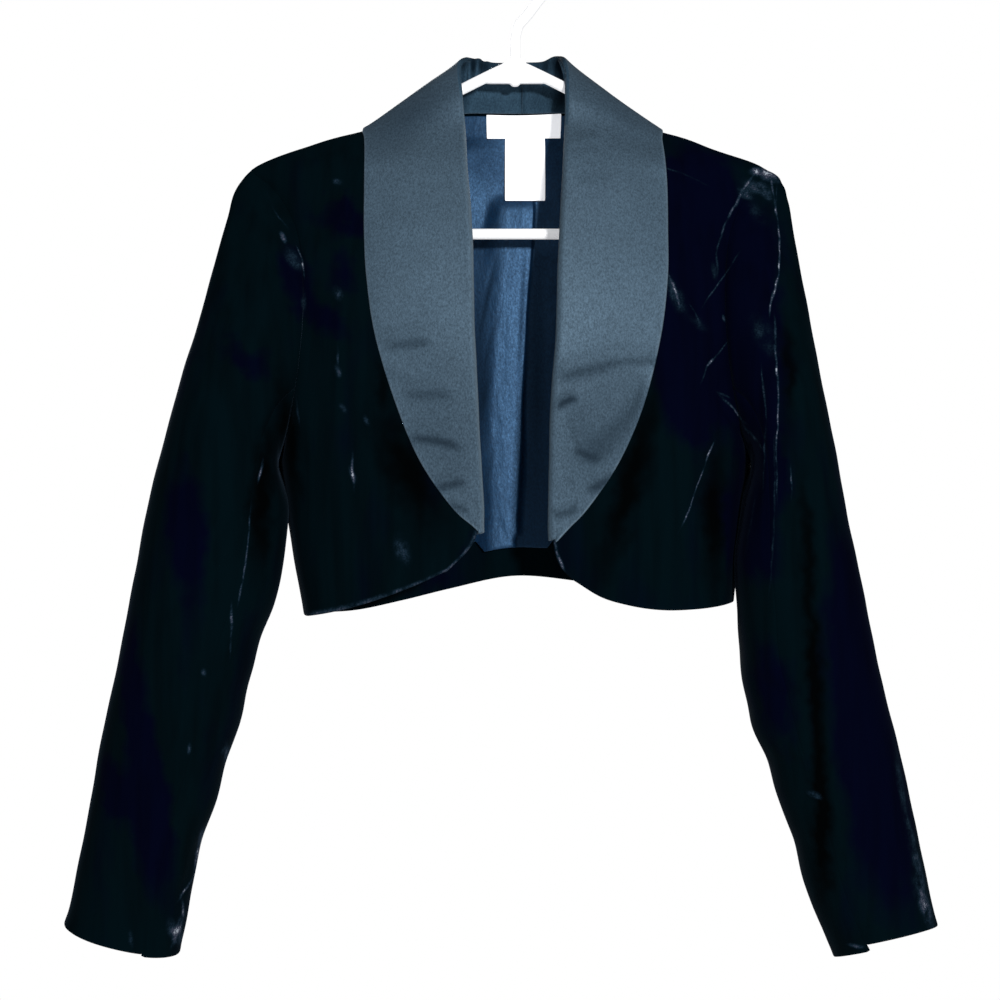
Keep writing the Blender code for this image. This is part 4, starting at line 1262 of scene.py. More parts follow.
def moulded_plastic(name):
    """White polypropylene, injection moulded: smooth and slightly waxy, with faint flow marks."""
    made, tree, shader = look(
        name,
        Roughness=0.32,
        IOR=1.49,
        # A painted glow keeps the plastic white in shade
        Emission_Color=linear(GLOW_COLOUR),
        Emission_Strength=PLASTIC_GLOW,
    )
    place = add(tree, "ShaderNodeTexCoord").outputs["Object"]
    flow = add(tree, "ShaderNodeTexNoise", {"Vector": place, "Scale": per_mm(FLOW), "Detail": 3})
    shade = add(tree, "ShaderNodeValToRGB", {"Fac": flow})
    shade.color_ramp.elements[0].color = linear("#F1F1F0")
    shade.color_ramp.elements[1].color = linear("#F9F9F8")
    tree.links.new(shade.outputs["Color"], shader.inputs["Base Color"])
    polish = add(tree, "ShaderNodeMapRange", {"Value": flow, "To Min": 0.27, "To Max": 0.38})
    tree.links.new(polish.outputs[0], shader.inputs["Roughness"])
    return made


# Where a rounded edge's points lie, in degrees from the outer face to the inner
RIM_TURNS = (40, 90, 140)


def shell(name, grid, normals, thickness, looks, wear_and_shade=None, lined=None, faced=None):
    """A thin sheet of cloth with rounded edges, from the grid of its middle surface.

    The mark on each point of the outer face tells how far the pile is crushed, or how much painted shade the
    satin takes or, below nought, how much painted highlight. lined and faced give the inner and the outer
    faces that take the second look.
    """
    rows, columns = grid.shape[:2]
    count = rows * columns
    grid = grid + (0, CLOTH_FORWARD_Y, 0)
    half = np.broadcast_to(np.asarray(thickness, float) / 2, (rows, columns))[..., None]
    number = np.arange(count).reshape(rows, columns)
    rim = np.concatenate([number[0, :-1], number[:-1, -1], number[-1, :0:-1], number[:0:-1, 0]])
    inward = np.zeros((rows, columns, 3))
    inward[0] += grid[1] - grid[0]
    inward[-1] += grid[-2] - grid[-1]
    inward[:, 0] += unit(grid[:, 1] - grid[:, 0])
    inward[:, -1] += unit(grid[:, -2] - grid[:, -1])
    edge = grid.reshape(-1, 3)[rim]
    out = -unit(inward.reshape(-1, 3)[rim])
    side = normals.reshape(-1, 3)[rim]
    reach = half.reshape(-1, 1)[rim]
    loops = [edge + reach * (side * np.cos(t) + out * np.sin(t)) for t in np.radians(RIM_TURNS)]
    outer = (grid + normals * half).reshape(-1, 3)
    inner = (grid - normals * half).reshape(-1, 3)
    points = np.concatenate([outer, inner, *loops])
    cell = (number[:-1, :-1], number[:-1, 1:], number[1:, 1:], number[1:, :-1])
    quads = np.stack(cell, -1).reshape(-1, 4)
    between = [2 * count + k * len(rim) + np.arange(len(rim)) for k in range(len(loops))]
    around = [rim, *between, rim + count]
    strips = []
    for a, b in zip(around, around[1:]):
        strips.append(np.stack([np.roll(a, -1), a, b, np.roll(b, -1)], -1))
    faces = np.concatenate([quads, quads[:, ::-1] + count, *strips])
    corner = points[quads[len(quads) // 2]]
    turned = np.cross(corner[1] - corner[0], corner[3] - corner[0])
    if np.dot(turned, normals.reshape(-1, 3)[quads[len(quads) // 2, 0]]) < 0:
        faces = faces[:, ::-1]
    mesh = bpy.data.meshes.new(name)
    mesh.from_pydata((points * MM).tolist(), [], faces.tolist())
    for finish in looks:
        mesh.materials.append(finish)
    chosen = np.zeros(len(faces), np.int32)
    if lined is not None:
        chosen[len(quads) : 2 * len(quads)] = lined.reshape(-1)
    if faced is not None:
        chosen[: len(quads)] = faced.reshape(-1)
    mesh.polygons.foreach_set("material_index", chosen)
    mesh.polygons.foreach_set("use_smooth", np.ones(len(faces), bool))
    across = from_edge(grid, "first column")
    down = from_edge(grid, "first row")
    flat = np.stack([across, down], -1).reshape(-1, 2) * MM
    flat = np.concatenate([flat, flat, flat[rim], flat[rim], flat[rim]])
    corners = np.empty(len(mesh.loops), np.int32)
    mesh.loops.foreach_get("vertex_index", corners)
    mesh.uv_layers.new(name="cloth").data.foreach_set("uv", flat[corners].astype(np.float32).reshape(-1))
    if wear_and_shade is not None:
        marks = wear_and_shade.reshape(-1)
        values = np.concatenate([marks, 0 * marks, marks[rim], marks[rim], 0 * marks[rim]])
        mesh.attributes.new("wear_and_shade", "FLOAT", "POINT").data.foreach_set("value", values.astype(np.float32))
    mesh.update()
    made = bpy.data.objects.new(name, mesh)
    bpy.context.collection.objects.link(made)
    return made


def settle(piece, slot, *nodes):
    """Puts a piece on the jacket's body, in place of its plain solids."""
    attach(piece, "root")
    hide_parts(*nodes)
    return piece


# Rows of the body's panels: above the shoulder point, down the armhole and below the armpit
SHOULDER_ROWS = 28
ARMHOLE_ROWS = 113
CHEST_ROWS = 15


def body_rows():
    """Heights of the body's rows down to the chest, and the turn of the armhole that each one meets."""
    turns = np.linspace(0, 180, ARMHOLE_ROWS)
    above = np.linspace(NECK_Z, SHOULDER_Z, SHOULDER_ROWS)[:-1]
    below = np.linspace(ARMPIT_Z, CHEST_Z, CHEST_ROWS)[1:]
    heights = np.concatenate([above, armhole(1, turns)[1], below])
    meets = np.concatenate([np.full(len(above), np.nan), turns, np.full(len(below), np.nan)])
    return heights, meets


def armhole_swing(meets):
    """How far behind the side each row of the back ends, in degrees: nought above and below the armhole."""
    behind = 360 - np.nan_to_num(meets)
    return np.where(np.isnan(meets), 0, np.abs(armhole(1, behind)[0]) - 90)


def join_armhole(grid, normals, column, side, meets, behind):
    """Brings a column's armhole points to the seam, with the normal the sleeve has there."""
    rows = np.flatnonzero((meets >= 0) & (meets <= 180))
    turn = 360 - meets[rows] if behind else meets[rows]
    point, body_out, _, across = armhole_seam(side, turn)
    inner = (meets[rows] > 0) & (meets[rows] < 180)
    grid[rows[inner], column] = (point - across * SEAM_GAP / 2)[inner]
    normals[rows, column] = body_out


# How crushed the pile is along the hem of each front, the back and the cuffs, how wide, and where it starts
HEM_WEAR = {-1: 0.55, 1: 0.06}
BACK_WEAR = 0.08
CUFF_WEAR = 0.06
WEAR_WIDTH = 1.0
WEAR_FADE = 20.0
# What is turned inside before the lining starts: the front's hem and facing, and the cuff
HEM_TURN_UP = 28.0
FACING = 45.0
CUFF_TURN_UP = 30.0
# How far towards the shoulder the back's raised neck goes
NECK_RISE = 0.6
# Steps down to the hem and across a panel, closer at the seams
HEM_STEPS = np.linspace(0, 1, 23)[1:]
FRONT_COLUMNS = np.concatenate([[0, 0.008], np.linspace(0.02, 0.98, 50), [0.992, 1]])
BACK_COLUMNS = np.concatenate([[0, 0.004], np.linspace(0.01, 0.99, 126), [0.996, 1]])


def front(name, side, looks):
    """A front: from its edge under the collar out to the shoulder, armhole and side seams."""
    key = "right" if side > 0 else "left"
    hem = HEM_RIGHT if side > 0 else HEM_LEFT
    heights, meets = body_rows()
    start = angle_at(smooth(FRONT_EDGE["z"], FRONT_EDGE[key], heights), heights, -1)
    end = np.where(np.isnan(meets), 90, np.abs(armhole(1, np.nan_to_num(meets))[0]))
    angles = mix(start[:, None], end[:, None], FRONT_COLUMNS)
    levels = np.broadcast_to(heights[:, None], angles.shape)
    edge_z = mix(CHEST_Z, CORNER_Z[side], HEM_STEPS)
    start = angle_at(smooth(FRONT_EDGE["z"], FRONT_EDGE[key], edge_z), edge_z, -1)
    low = mix(start[:, None], 90, FRONT_COLUMNS)
    x = np.abs(torso(side * low, np.full(low.shape, HEM_Z))[..., 0])
    low_z = mix(CHEST_Z, smooth(hem["x"], hem["z"], x), HEM_STEPS[:, None])
    angles = side * np.concatenate([angles, low])
    levels = np.concatenate([levels, low_z])
    grid = torso(angles, levels)
    normals = torso_normal(angles, levels)
    grid[:, -1, 1] -= SEAM_GAP / 2
    join_armhole(grid, normals, -1, side, meets, False)
    seam = bell(from_edge(grid, "last column"), PULL_WIDTH)
    hem_near = from_edge(grid, "last row")
    edge_near = from_edge(grid, "first column")
    near = np.minimum(hem_near, edge_near)
    lift = crease_lift(grid, normals, FRONT_CREASES[side]) + drift(grid) * (1 - seam) - BODY_PULL * seam
    grid = grid + normals * lift[..., None]
    thick = VELVET + HEM_EXTRA * bell(near, HEM_SOFT)
    wear_and_shade = HEM_WEAR[side] * ease((CHEST_Z - grid[..., 2]) / WEAR_FADE) * bell(near, WEAR_WIDTH)
    lined = ((hem_near > HEM_TURN_UP) & (edge_near > FACING))[:-1, :-1]
    made = shell(name + "_cloth", grid, normals, thick, looks, wear_and_shade, lined)
    return settle(made, "velvet", name)


def back(name, looks):
    """The back in one piece, from side to side through both shoulders and armholes."""
    heights, meets = body_rows()
    swing = armhole_swing(meets)
    angles = mix((90 + swing)[:, None], (270 - swing)[:, None], BACK_COLUMNS)
    rise = (BACK_NECK_Z - NECK_Z) * np.sin(np.radians(angles - 90)) ** 2
    fade = np.clip(1 - (NECK_Z - heights) / (NECK_Z - SHOULDER_Z) / NECK_RISE, 0, 1)
    levels = heights[:, None] + rise * fade[:, None]
    low = mix(90, 270, BACK_COLUMNS)
    x = torso(low, np.full(low.shape, HEM_Z))[..., 0]
    low_z = mix(CHEST_Z, smooth(HEM_BACK["x"], HEM_BACK["z"], x), HEM_STEPS[:, None])
    angles = np.concatenate([angles, np.broadcast_to(low, low_z.shape)])
    levels = np.concatenate([levels, low_z])
    grid = torso(angles, levels)
    normals = torso_normal(angles, levels)
    grid[:, 0, 1] += SEAM_GAP / 2
    grid[:, -1, 1] += SEAM_GAP / 2
    join_armhole(grid, normals, 0, 1, meets, True)
    join_armhole(grid, normals, -1, -1, meets, True)
    near = np.minimum(from_edge(grid, "first column"), from_edge(grid, "last column"))
    seam = bell(near, PULL_WIDTH)
    hem_near = from_edge(grid, "last row")
    lift = crease_lift(grid, normals, BACK_CREASES) + drift(grid) * (1 - seam) - BODY_PULL * seam
    grid = grid + normals * lift[..., None]
    thick = VELVET + HEM_EXTRA * bell(hem_near, HEM_SOFT)
    wear_and_shade = BACK_WEAR * bell(hem_near, WEAR_WIDTH)
    made = shell(name + "_cloth", grid, normals, thick, looks, wear_and_shade)
    return settle(made, "velvet", name)


# Rows down a sleeve, closer at its seam and hem, and the degrees from one column to the next
SLEEVE_MIDDLE = np.linspace(0.08, SECTIONS - 0.06, 205)
SLEEVE_ROWS = np.concatenate([[0, 0.03], SLEEVE_MIDDLE, [SECTIONS - 0.02, SECTIONS]])
SLEEVE_TURN = 2.6
# How far the panels stand apart at the head and below it, in seam gaps, and over how many sections
HEAD_APART = 2.0
SEAM_APART = 0.7
APART_SECTIONS = 3.0
# The sections over which a panel's hem is let down, and how much its seams flatten a crease
DROP_SECTIONS = 2.0
SEAM_FLATTENS = 0.6


def sleeve_panel(name, side, first, last, drop, looks):
    """One panel of a two-piece sleeve between two turns, its hem let down by a drop."""
    turns = np.linspace(first, last, int((last - first) / SLEEVE_TURN) + 1)
    turn, at = np.meshgrid(turns, SLEEVE_ROWS)
    grid = sleeve(side, turn, at)
    normals = sleeve_normal(side, turn, at)
    run = unit(sleeve(side, turn + STEP, at) - sleeve(side, turn - STEP, at))
    apart = (SEAM_GAP * mix(HEAD_APART, SEAM_APART, ease(SLEEVE_ROWS / APART_SECTIONS)))[:, None]
    grid[:, 0] += run[:, 0] * apart
    grid[:, -1] -= run[:, -1] * apart
    _, _, sleeve_out, across = armhole_seam(side, turns)
    grid[0] += across * SEAM_GAP / 2
    normals[0] = sleeve_out
    hang = ease((at - SECTIONS + DROP_SECTIONS) / DROP_SECTIONS)[..., None] * drop
    grid += hang * unit(sleeve(side, turn, 0 * at + SECTIONS) - sleeve(side, turn, 0 * at + SECTIONS - 1))
    edges = ("first column", "last column", "first row")
    seam = bell(np.min([from_edge(grid, edge) for edge in edges], axis=0), PULL_WIDTH)
    hem_near = from_edge(grid, "last row")
    lift = crease_lift(grid, normals, SLEEVE_CREASES[side]) * (1 - SEAM_FLATTENS * seam)
    lift += drift(grid) * (1 - seam) - SLEEVE_PULL * seam
    grid = grid + normals * lift[..., None]
    thick = VELVET + HEM_EXTRA * bell(hem_near, HEM_SOFT)
    wear_and_shade = CUFF_WEAR * bell(hem_near, WEAR_WIDTH)
    lined = (hem_near > CUFF_TURN_UP)[:-1, :-1]
    made = shell(name + "_cloth", grid, normals, thick, looks, wear_and_shade, lined)
    return settle(made, "velvet", name)


def bezier(a, b, c, d, t):
    return (1 - t) ** 3 * a + 3 * t * (1 - t) ** 2 * b + 3 * t * t * (1 - t) * c + t ** 3 * d


def collar_line(side, x, z, at):
    """Angle and height along one edge of the collar, from behind the neck over the shoulder and down."""
    angle = angle_at(side * x, z, np.where(at < RIDGE_ROW, 1, -1))
    clear = np.abs(at - RIDGE_ROW) > RIDGE_ROWS
    return smooth(at[clear], angle[clear], at), z


def collar_fold(side, at):
    """The roll line: free behind the neck, and on the body's surface down the front."""
    x = side * COLLAR_SPREAD[side]["fold"]
    z = COLLAR["fold_z"] + COLLAR_SPREAD[side]["lift"]
    fold = np.stack([x, COLLAR["fold_y"], z], -1)
    lower = fold[FRONT_FOLD_ROWS:]
    fold[FRONT_FOLD_ROWS:] = torso(angle_at(lower[:, 0], lower[:, 2], -1), lower[:, 2])
    row = np.arange(len(fold), dtype=float)
    return np.stack([smooth(row, fold[:, k], at) for k in range(3)], -1)


# Rows along the collar, round the neck, down the front and at the tip, and lines across it, up the stand,
# over the fold and down the fall
NECK_ROWS = np.linspace(0, 5, 126)
LAPEL_ROWS = np.linspace(5, 13, 206)[1:]
TIP_ROWS = np.linspace(13, 15, 40)[1:]
COLLAR_ROWS = np.concatenate([NECK_ROWS, LAPEL_ROWS, TIP_ROWS])
STAND_LINES = 18
FOLD_LINES = 10
FALL_LINES = 83
# How far each curve runs straight on from its ends, as shares of its length, and how straight on the ridge
SEAM_PULL_UP = 0.2
FOLD_PULL = 0.3
EDGE_PULL = 0.4
RIDGE_EDGE = 0.9
# The rows over which the collar is shifted to its seam at centre back
SEAM_SHIFT_ROWS = 1.8


def collar_surface(side):
    """Middle surface of half the collar: neck seam, stand, fold and fall, from centre back to its tip."""
    at = COLLAR_ROWS
    radius = FOLD_RADIUS[side]
    edge_x = by_row(COLLAR_SPREAD[side], "edge", at)
    edge_z = by_row(COLLAR, "edge_z", at) + by_row(COLLAR_SPREAD[side], "lift", at)
    edge_at = collar_line(side, edge_x, edge_z, at)
    seam_at = collar_line(side, by_row(COLLAR, "seam_x", at), by_row(COLLAR, "seam_z", at), at)
    edge_out = torso_normal(*edge_at)
    seam_out = torso_normal(*seam_at)
    edge = torso(*edge_at) + edge_out * by_row(COLLAR, "off", at)[:, None]
    seam = torso(*seam_at) - seam_out * COLLAR_LAP_IN
    fold = collar_fold(side, at)
    up = unit(fold - (edge + seam) / 2)
    over = unit(edge_out - up * np.sum(edge_out * up, -1, keepdims=True))
    heart = fold - up * radius
    inner = heart - over * radius
    outer = heart + over * radius
    to_fold = inner - seam
    along = to_fold - seam_out * np.sum(to_fold * seam_out, -1, keepdims=True)
    stand_a = seam + along * SEAM_PULL_UP
    stand_b = inner - up * np.linalg.norm(to_fold, axis=-1, keepdims=True) * FOLD_PULL
    to_edge = outer - edge
    length = np.linalg.norm(to_edge, axis=-1, keepdims=True)
    along = to_edge - edge_out * np.sum(to_edge * edge_out, -1, keepdims=True)
    ridge = np.exp(-((at - RIDGE_ROW) ** 2) / RIDGE_SPREAD)[:, None]
    bulge = FALL_CURVE + FALL_BULGE[side] * ridge
    fall_a = outer - up * length * FOLD_PULL + over * length * bulge
    fall_b = edge + mix(along, to_edge, RIDGE_EDGE * ridge) * EDGE_PULL
    lines = [bezier(seam, stand_a, stand_b, inner, t) for t in np.linspace(0, 1, STAND_LINES)]
    for t in np.linspace(0, np.pi, FOLD_LINES + 1)[1:]:
        lines.append(heart - over * radius * np.cos(t) + up * radius * np.sin(t))
    lines += [bezier(outer, fall_a, fall_b, edge, t) for t in np.linspace(0, 1, FALL_LINES + 1)[1:]]
    grid = np.stack(lines, 1)
    grid[..., 0] += COLLAR_SEAM_X * (1 - ease(at / SEAM_SHIFT_ROWS))[:, None]
    grid[0, :, 0] = COLLAR_SEAM_X + side * SEAM_GAP / 2
    return grid


# The lines where the stand's gathers fade out, the painted highlight on the fold lies, the fall's creases
# fade in and the stand's shaded satin ends, and over how many lines
GATHERS_TO = 19
GATHERS_FADE = 6
FOLD_HIGHLIGHT_LINE = 23
FOLD_HIGHLIGHT_SPREAD = 1.7
CREASES_FROM = 24
CREASES_FADE = 8
STAND_LOOK_TO = 25
# The rows where the gathers end, the painted highlight on the fold starts and the stand's shaded satin ends
GATHER_ROWS = 5.0
FOLD_HIGHLIGHT_ROWS = 4.5
STAND_LOOK_ROWS = 6.0
ROW_FADE = 1.5
# How deep and wide the seam at centre back sinks, how near the outer edge the cloth is even and free of
# creases, and how wide the painted highlight along that edge is
SEAM_SINK = 1.6
SEAM_SINK_WIDTH = 1.7
EVEN_EDGE = 3.0
CREASE_FREE_EDGE = 9.0
RIM_HIGHLIGHT_WIDTH = 0.8
# Stiff satin is less uneven than velvet
SATIN_DRIFT = 0.6


def collar(name, side, looks):
    """Half the shawl collar: gathered stand in shaded satin, creases with painted shade, painted highlights
    on its edges.
    """
    grid = collar_surface(side)
    normals = side * unit(np.cross(np.gradient(grid, axis=0), np.gradient(grid, axis=1)))
    normals[0, :, 0] = 0
    normals = unit(normals)
    from_rim = from_edge(grid, "last column")
    middle = bell(from_edge(grid, "first row"), SEAM_SINK_WIDTH)
    line = np.arange(grid.shape[1])
    row = COLLAR_ROWS[:, None]
    fall = ease((line - CREASES_FROM) / CREASES_FADE)
    stand = (1 - ease((line - GATHERS_TO) / GATHERS_FADE)) * ease((GATHER_ROWS - row) / ROW_FADE)
    lift = crease_lift(grid, normals, COLLAR_CREASES[side]) * fall * ease(from_rim / CREASE_FREE_EDGE)
    lift += crease_lift(grid, normals, STAND_CREASES) * stand
    lift += SATIN_DRIFT * drift(grid) * (1 - middle) * (1 - bell(from_rim, EVEN_EDGE)) - SEAM_SINK * middle
    # Painted shade on the steep sides of the creases
    wear_and_shade = painted_crease_shade(grid, normals, COLLAR_CREASES[side]) * fall
    # A painted highlight, below nought, along the fold and the outer edge
    on_fold = bell(line - FOLD_HIGHLIGHT_LINE, FOLD_HIGHLIGHT_SPREAD) * ease((row - FOLD_HIGHLIGHT_ROWS) / ROW_FADE)
    wear_and_shade -= FOLD_HIGHLIGHT[side] * on_fold + RIM_HIGHLIGHT[side] * bell(from_rim, RIM_HIGHLIGHT_WIDTH)
    grid = grid + normals * lift[..., None]
    # The stand takes the shaded copy of the satin
    neck = ((line < STAND_LOOK_TO) & (row < STAND_LOOK_ROWS))[:-1, :-1]
    made = shell(name + "_cloth", grid, normals, SATIN, looks, wear_and_shade, faced=neck)
    return settle(made, "collar_satin", name)


# The pleat's slope rises on towards its lip, which is rounded off and laps over
PLEAT_SLOPE = 0.004
LIP_WIDTH = 3.0
LIP_LAP = 0.4
LIP_ROUND = 0.3
LIP_ROUND_WIDTH = 8.0


def pleat(x, z):
    """How far the lining's ease pleat stands off and how far its fold laps over, at a place on the back."""
    size = {column: smooth(PLEAT["z"], PLEAT[column], z) for column in PLEAT if column != "z"}
    across = x - size["flank"]
    flank = ease(0.5 + 0.5 * across / size["soft"]) * (1 + PLEAT_SLOPE * across)
    depth = size["depth"] * (x <= size["lip"])
    to_lip = np.minimum(x, size["lip"]) - size["lip"]
    round_off = 1 - LIP_ROUND * np.exp(to_lip / LIP_ROUND_WIDTH)
    return depth * flank * round_off, LIP_LAP * depth * bell(x - size["lip"], LIP_WIDTH)


# How far short of the armholes the lining ends, in degrees: above the shoulder point and below it
SHORT_ABOVE = 14.0
SHORT_BELOW = 6.0
# Columns on each side of the pleat's lip, crowded towards it on the far side, and half the slit between them
TO_PLEAT = np.linspace(0, 1, 50)
PAST_PLEAT = np.linspace(0, 1, 66) ** 1.25
PLEAT_SLIT = 0.2
# The lining's foot rises to each side of a middle, over a width
LINING_MIDDLE_X = 1.0
LINING_RISE_WIDTH = 8.0
FOOT_STEPS = np.linspace(0, 1, 11)[1:]
# The first row below the top, how unevenly it hangs, and how far down that fades in
LINING_FIRST_ROW = 10.0
LINING_DRIFT = 0.5
LINING_FADE = 15.0


def back_lining(name, looks):
    """The back lining, inside the back, with an ease pleat that falls from below the labels."""
    heights, meets = body_rows()
    below = heights < LINING_TOP_Z - LINING_FIRST_ROW
    heights = np.concatenate([[LINING_TOP_Z], heights[below]])
    meets = np.concatenate([[np.nan], meets[below]])
    swing = np.where(heights > SHOULDER_Z, SHORT_ABOVE, SHORT_BELOW) + armhole_swing(meets)
    lip = angle_at(smooth(PLEAT["z"], PLEAT["lip"], heights), heights, 1)[:, None]
    to_pleat = mix((90 + swing)[:, None], lip - PLEAT_SLIT, TO_PLEAT)
    past_pleat = mix(lip + PLEAT_SLIT, (270 - swing)[:, None], PAST_PLEAT)
    angles = np.concatenate([to_pleat, past_pleat], 1)
    levels = heights[:, None] + 0 * angles
    levels[0] -= LINING_SHOULDER_DROP * np.cos(np.radians(angles[0] - 90)) ** 4
    last = angles[-1]
    x = torso(last, np.full(last.shape, LINING_FOOT_Z))[..., 0]
    foot = smooth(HEM_BACK["x"], HEM_BACK["z"], x) + LINING_ABOVE_HEM
    foot += LINING_SIDE_RISE * ease((np.abs(x - LINING_MIDDLE_X) - LINING_SIDE_X) / LINING_RISE_WIDTH)
    angles = np.concatenate([angles, np.broadcast_to(last, (len(FOOT_STEPS), len(last)))])
    levels = np.concatenate([levels, mix(levels[-1], foot, FOOT_STEPS[:, None])])
    normals = torso_normal(angles, levels)
    grid = torso(angles, levels) - normals * LINING_INSIDE
    stand, lap = pleat(grid[..., 0], levels)
    grid[..., 0] += lap
    lift = crease_lift(grid, -normals, LINING_CREASES) + LINING_DRIFT * drift(grid)
    lift = lift * ease((LINING_TOP_Z - levels) / LINING_FADE)
    grid = grid - normals * (stand + lift)[..., None]
    made = shell(name + "_cloth", grid, -normals, LINING, looks)
    return settle(made, "lining", name)


# A label's columns and rows, the height and length of its waves, and how far its corners curl
LABEL_COLUMNS = 40
LABEL_ROWS = 24
LABEL_WAVE = 0.35
LABEL_WAVE_LENGTH = 6.0
LABEL_CURL = 0.9


def label(name, centre, width, top, height, inside, hang, looks):
    """A bare tape on the lining, its lower edge hanging a little free and its corners curling."""
    across = np.linspace(centre - width / 2, centre + width / 2, LABEL_COLUMNS)
    x, z = np.meshgrid(across, top - np.linspace(0, height, LABEL_ROWS))
    angles = angle_at(x, z, 1) % 360
    normals = torso_normal(angles, z)
    fall = (top - z) / height
    wave = LABEL_WAVE * np.sin(x / LABEL_WAVE_LENGTH + 1) * fall
    wave += LABEL_CURL * fall ** 2 * ((x - centre) / width * 2) ** 4
    grid = torso(angles, z) - normals * (inside + hang * fall + wave)[..., None]
    made = shell(name + "_tape", grid, -normals, TAPE, looks)
    return settle(made, "label_tape", name)


def tube(name, path, closed, thinned=()):
    """A round tube along a path, as a mesh; thinned gives the first points' shares of its radius."""
    line = bpy.data.curves.new(name, "CURVE")
    line.dimensions = "3D"
    line.bevel_depth = TUBE_RADIUS * MM
    line.bevel_resolution = 6
    line.use_fill_caps = True
    spline = line.splines.new("POLY")
    spline.points.add(len(path) - 1)
    for point, (x, y, z) in zip(spline.points, path):
        point.co = (x * MM, y * MM, z * MM, 1)
    for point, share in zip(spline.points, thinned):
        point.radius = share
    spline.use_cyclic_u = closed
    made = bpy.data.objects.new(name, line)
    bpy.context.collection.objects.link(made)
    bpy.ops.object.select_all(action="DESELECT")
    made.select_set(True)
    bpy.context.view_layer.objects.active = made
    bpy.ops.object.convert(target="MESH")
    return bpy.context.view_layer.objects.active


def arc(x, z, radius, start, end, count):
    """Points round an upright arc between two turns from +X."""
    turn = np.radians(np.linspace(start, end, count))
    return np.stack([x + radius * np.cos(turn), 0 * turn, z + radius * np.sin(turn)], -1)


def hanger(name, plastic):
    """Arms, bar and end loops in one tube, with a web under the apex and a hook, all one moulding."""
    slope = np.degrees(np.arctan(ARM_SLOPE))
    meet_x = (ARM_APEX_Z - BAR_Z) / ARM_SLOPE
    end_x = meet_x - END_RADIUS / np.tan(np.radians(slope / 2))
    right = arc(end_x, BAR_Z + END_RADIUS, END_RADIUS, 90 - slope, -90, 25)
    out = np.linspace(ARM_START_X, right[0, 0] - ARM_STOP_X, 16)
    bow = ARM_BOW * np.sin(np.pi * np.minimum(out / ARM_BOW_X, 1))
    arm = np.stack([out, 0 * out, ARM_APEX_Z - out * ARM_SLOPE + bow], -1)
    half = np.concatenate([arm, right])
    apex = [[0, 0, ARM_APEX_Z - APEX_DROP]]
    made = tube(name + "_moulding", np.concatenate([apex, half, (half * (-1, 1, 1))[::-1]]), True)
    bow_of_hook = arc(0, TUBE_RADIUS - HOOK_RADIUS, HOOK_RADIUS, HOOK_START, HOOK_END, 48)
    crook = tube("hook", np.concatenate([STEM, bow_of_hook]), False, NUB_TAPER)
    bpy.ops.object.select_all(action="DESELECT")
    web_scale = [size * MM for size in WEB_HALF]
    bpy.ops.mesh.primitive_cube_add(size=2, location=(0, 0, WEB_Z * MM), scale=web_scale)
    web = bpy.context.view_layer.objects.active
    bpy.ops.object.transform_apply(location=True, rotation=False, scale=True)
    for corner in web.data.vertices:
        if corner.co.z > WEB_Z * MM:
            corner.co.x *= WEB_TOP_SHARE
    bpy.ops.object.select_all(action="DESELECT")
    for piece in (made, crook, web):
        piece.select_set(True)
    bpy.context.view_layer.objects.active = made
    bpy.ops.object.join()
    fused = made.modifiers.new("fused", "REMESH")
    fused.mode = "VOXEL"
    fused.voxel_size = FUSE * MM
    bpy.ops.object.modifier_apply(modifier="fused")
    eased = made.modifiers.new("eased", "SMOOTH")
    eased.factor = 0.5
    eased.iterations = 6
    bpy.ops.object.modifier_apply(modifier="eased")
    bpy.ops.object.shade_smooth()
    made.data.materials.clear()
    made.data.materials.append(plastic)
    return settle(made, "hanger_plastic", name)


# Looks, each named for its cloth or plastic; the velvet's strokes are laid at the depth of the front or back
FRONT_Y = -58.0
BACK_Y = 58.0
velvet_right = velvet("silk velvet, wearer's right", -1, FRONT_Y)
velvet_left = velvet("silk velvet, wearer's left", 1, FRONT_Y)
velvet_back = velvet("silk velvet, back", 0, BACK_Y)
# The grain is drawn more than a millimetre across, because single threads are too fine to show
COLLAR_GRAIN = 1.2
LINING_GRAIN = 1.3
collar_satin = satin(
    "duchesse satin",
    deep="#1F2C36",
    pale="#3F5261",
    lustre="#B6DAF8",
    level=1.0,
    roughness=0.62,
    uneven=0.05,
    grain=COLLAR_GRAIN,
    crinkle=0.0,
    shaded="#06131F",
    shades=COLLAR_PAINTED_SHADE,
    deepest=DEEPEST,
)
# A darker, duller copy of the collar's satin, so that the stand reads as in shade inside the neck
shaded_stand_satin = satin(
    "duchesse satin, shaded copy for the stand",
    deep="#243847",
    pale="#354F62",
    lustre="#B6DAF8",
    level=0.22,
    roughness=0.75,
    uneven=0.05,
    grain=COLLAR_GRAIN,
    crinkle=0.5,
    shaded="#04101A",
    shades=STAND_PAINTED_SHADE,
    deepest=STAND_DEEPEST,
)
lining_satin = satin(
    "acetate lining",
    deep="#030F24",
    pale="#0B2B49",
    lustre="#8AC0F8",
    level=0.73,
    roughness=0.46,
    uneven=0.06,
    grain=LINING_GRAIN,
    crinkle=0.55,
    shaded="#010A18",
    shades=LINING_PAINTED_SHADE,
    deepest=DEEPEST,
)
tape = woven_tape("white woven tape")
plastic = moulded_plastic("white moulded plastic")

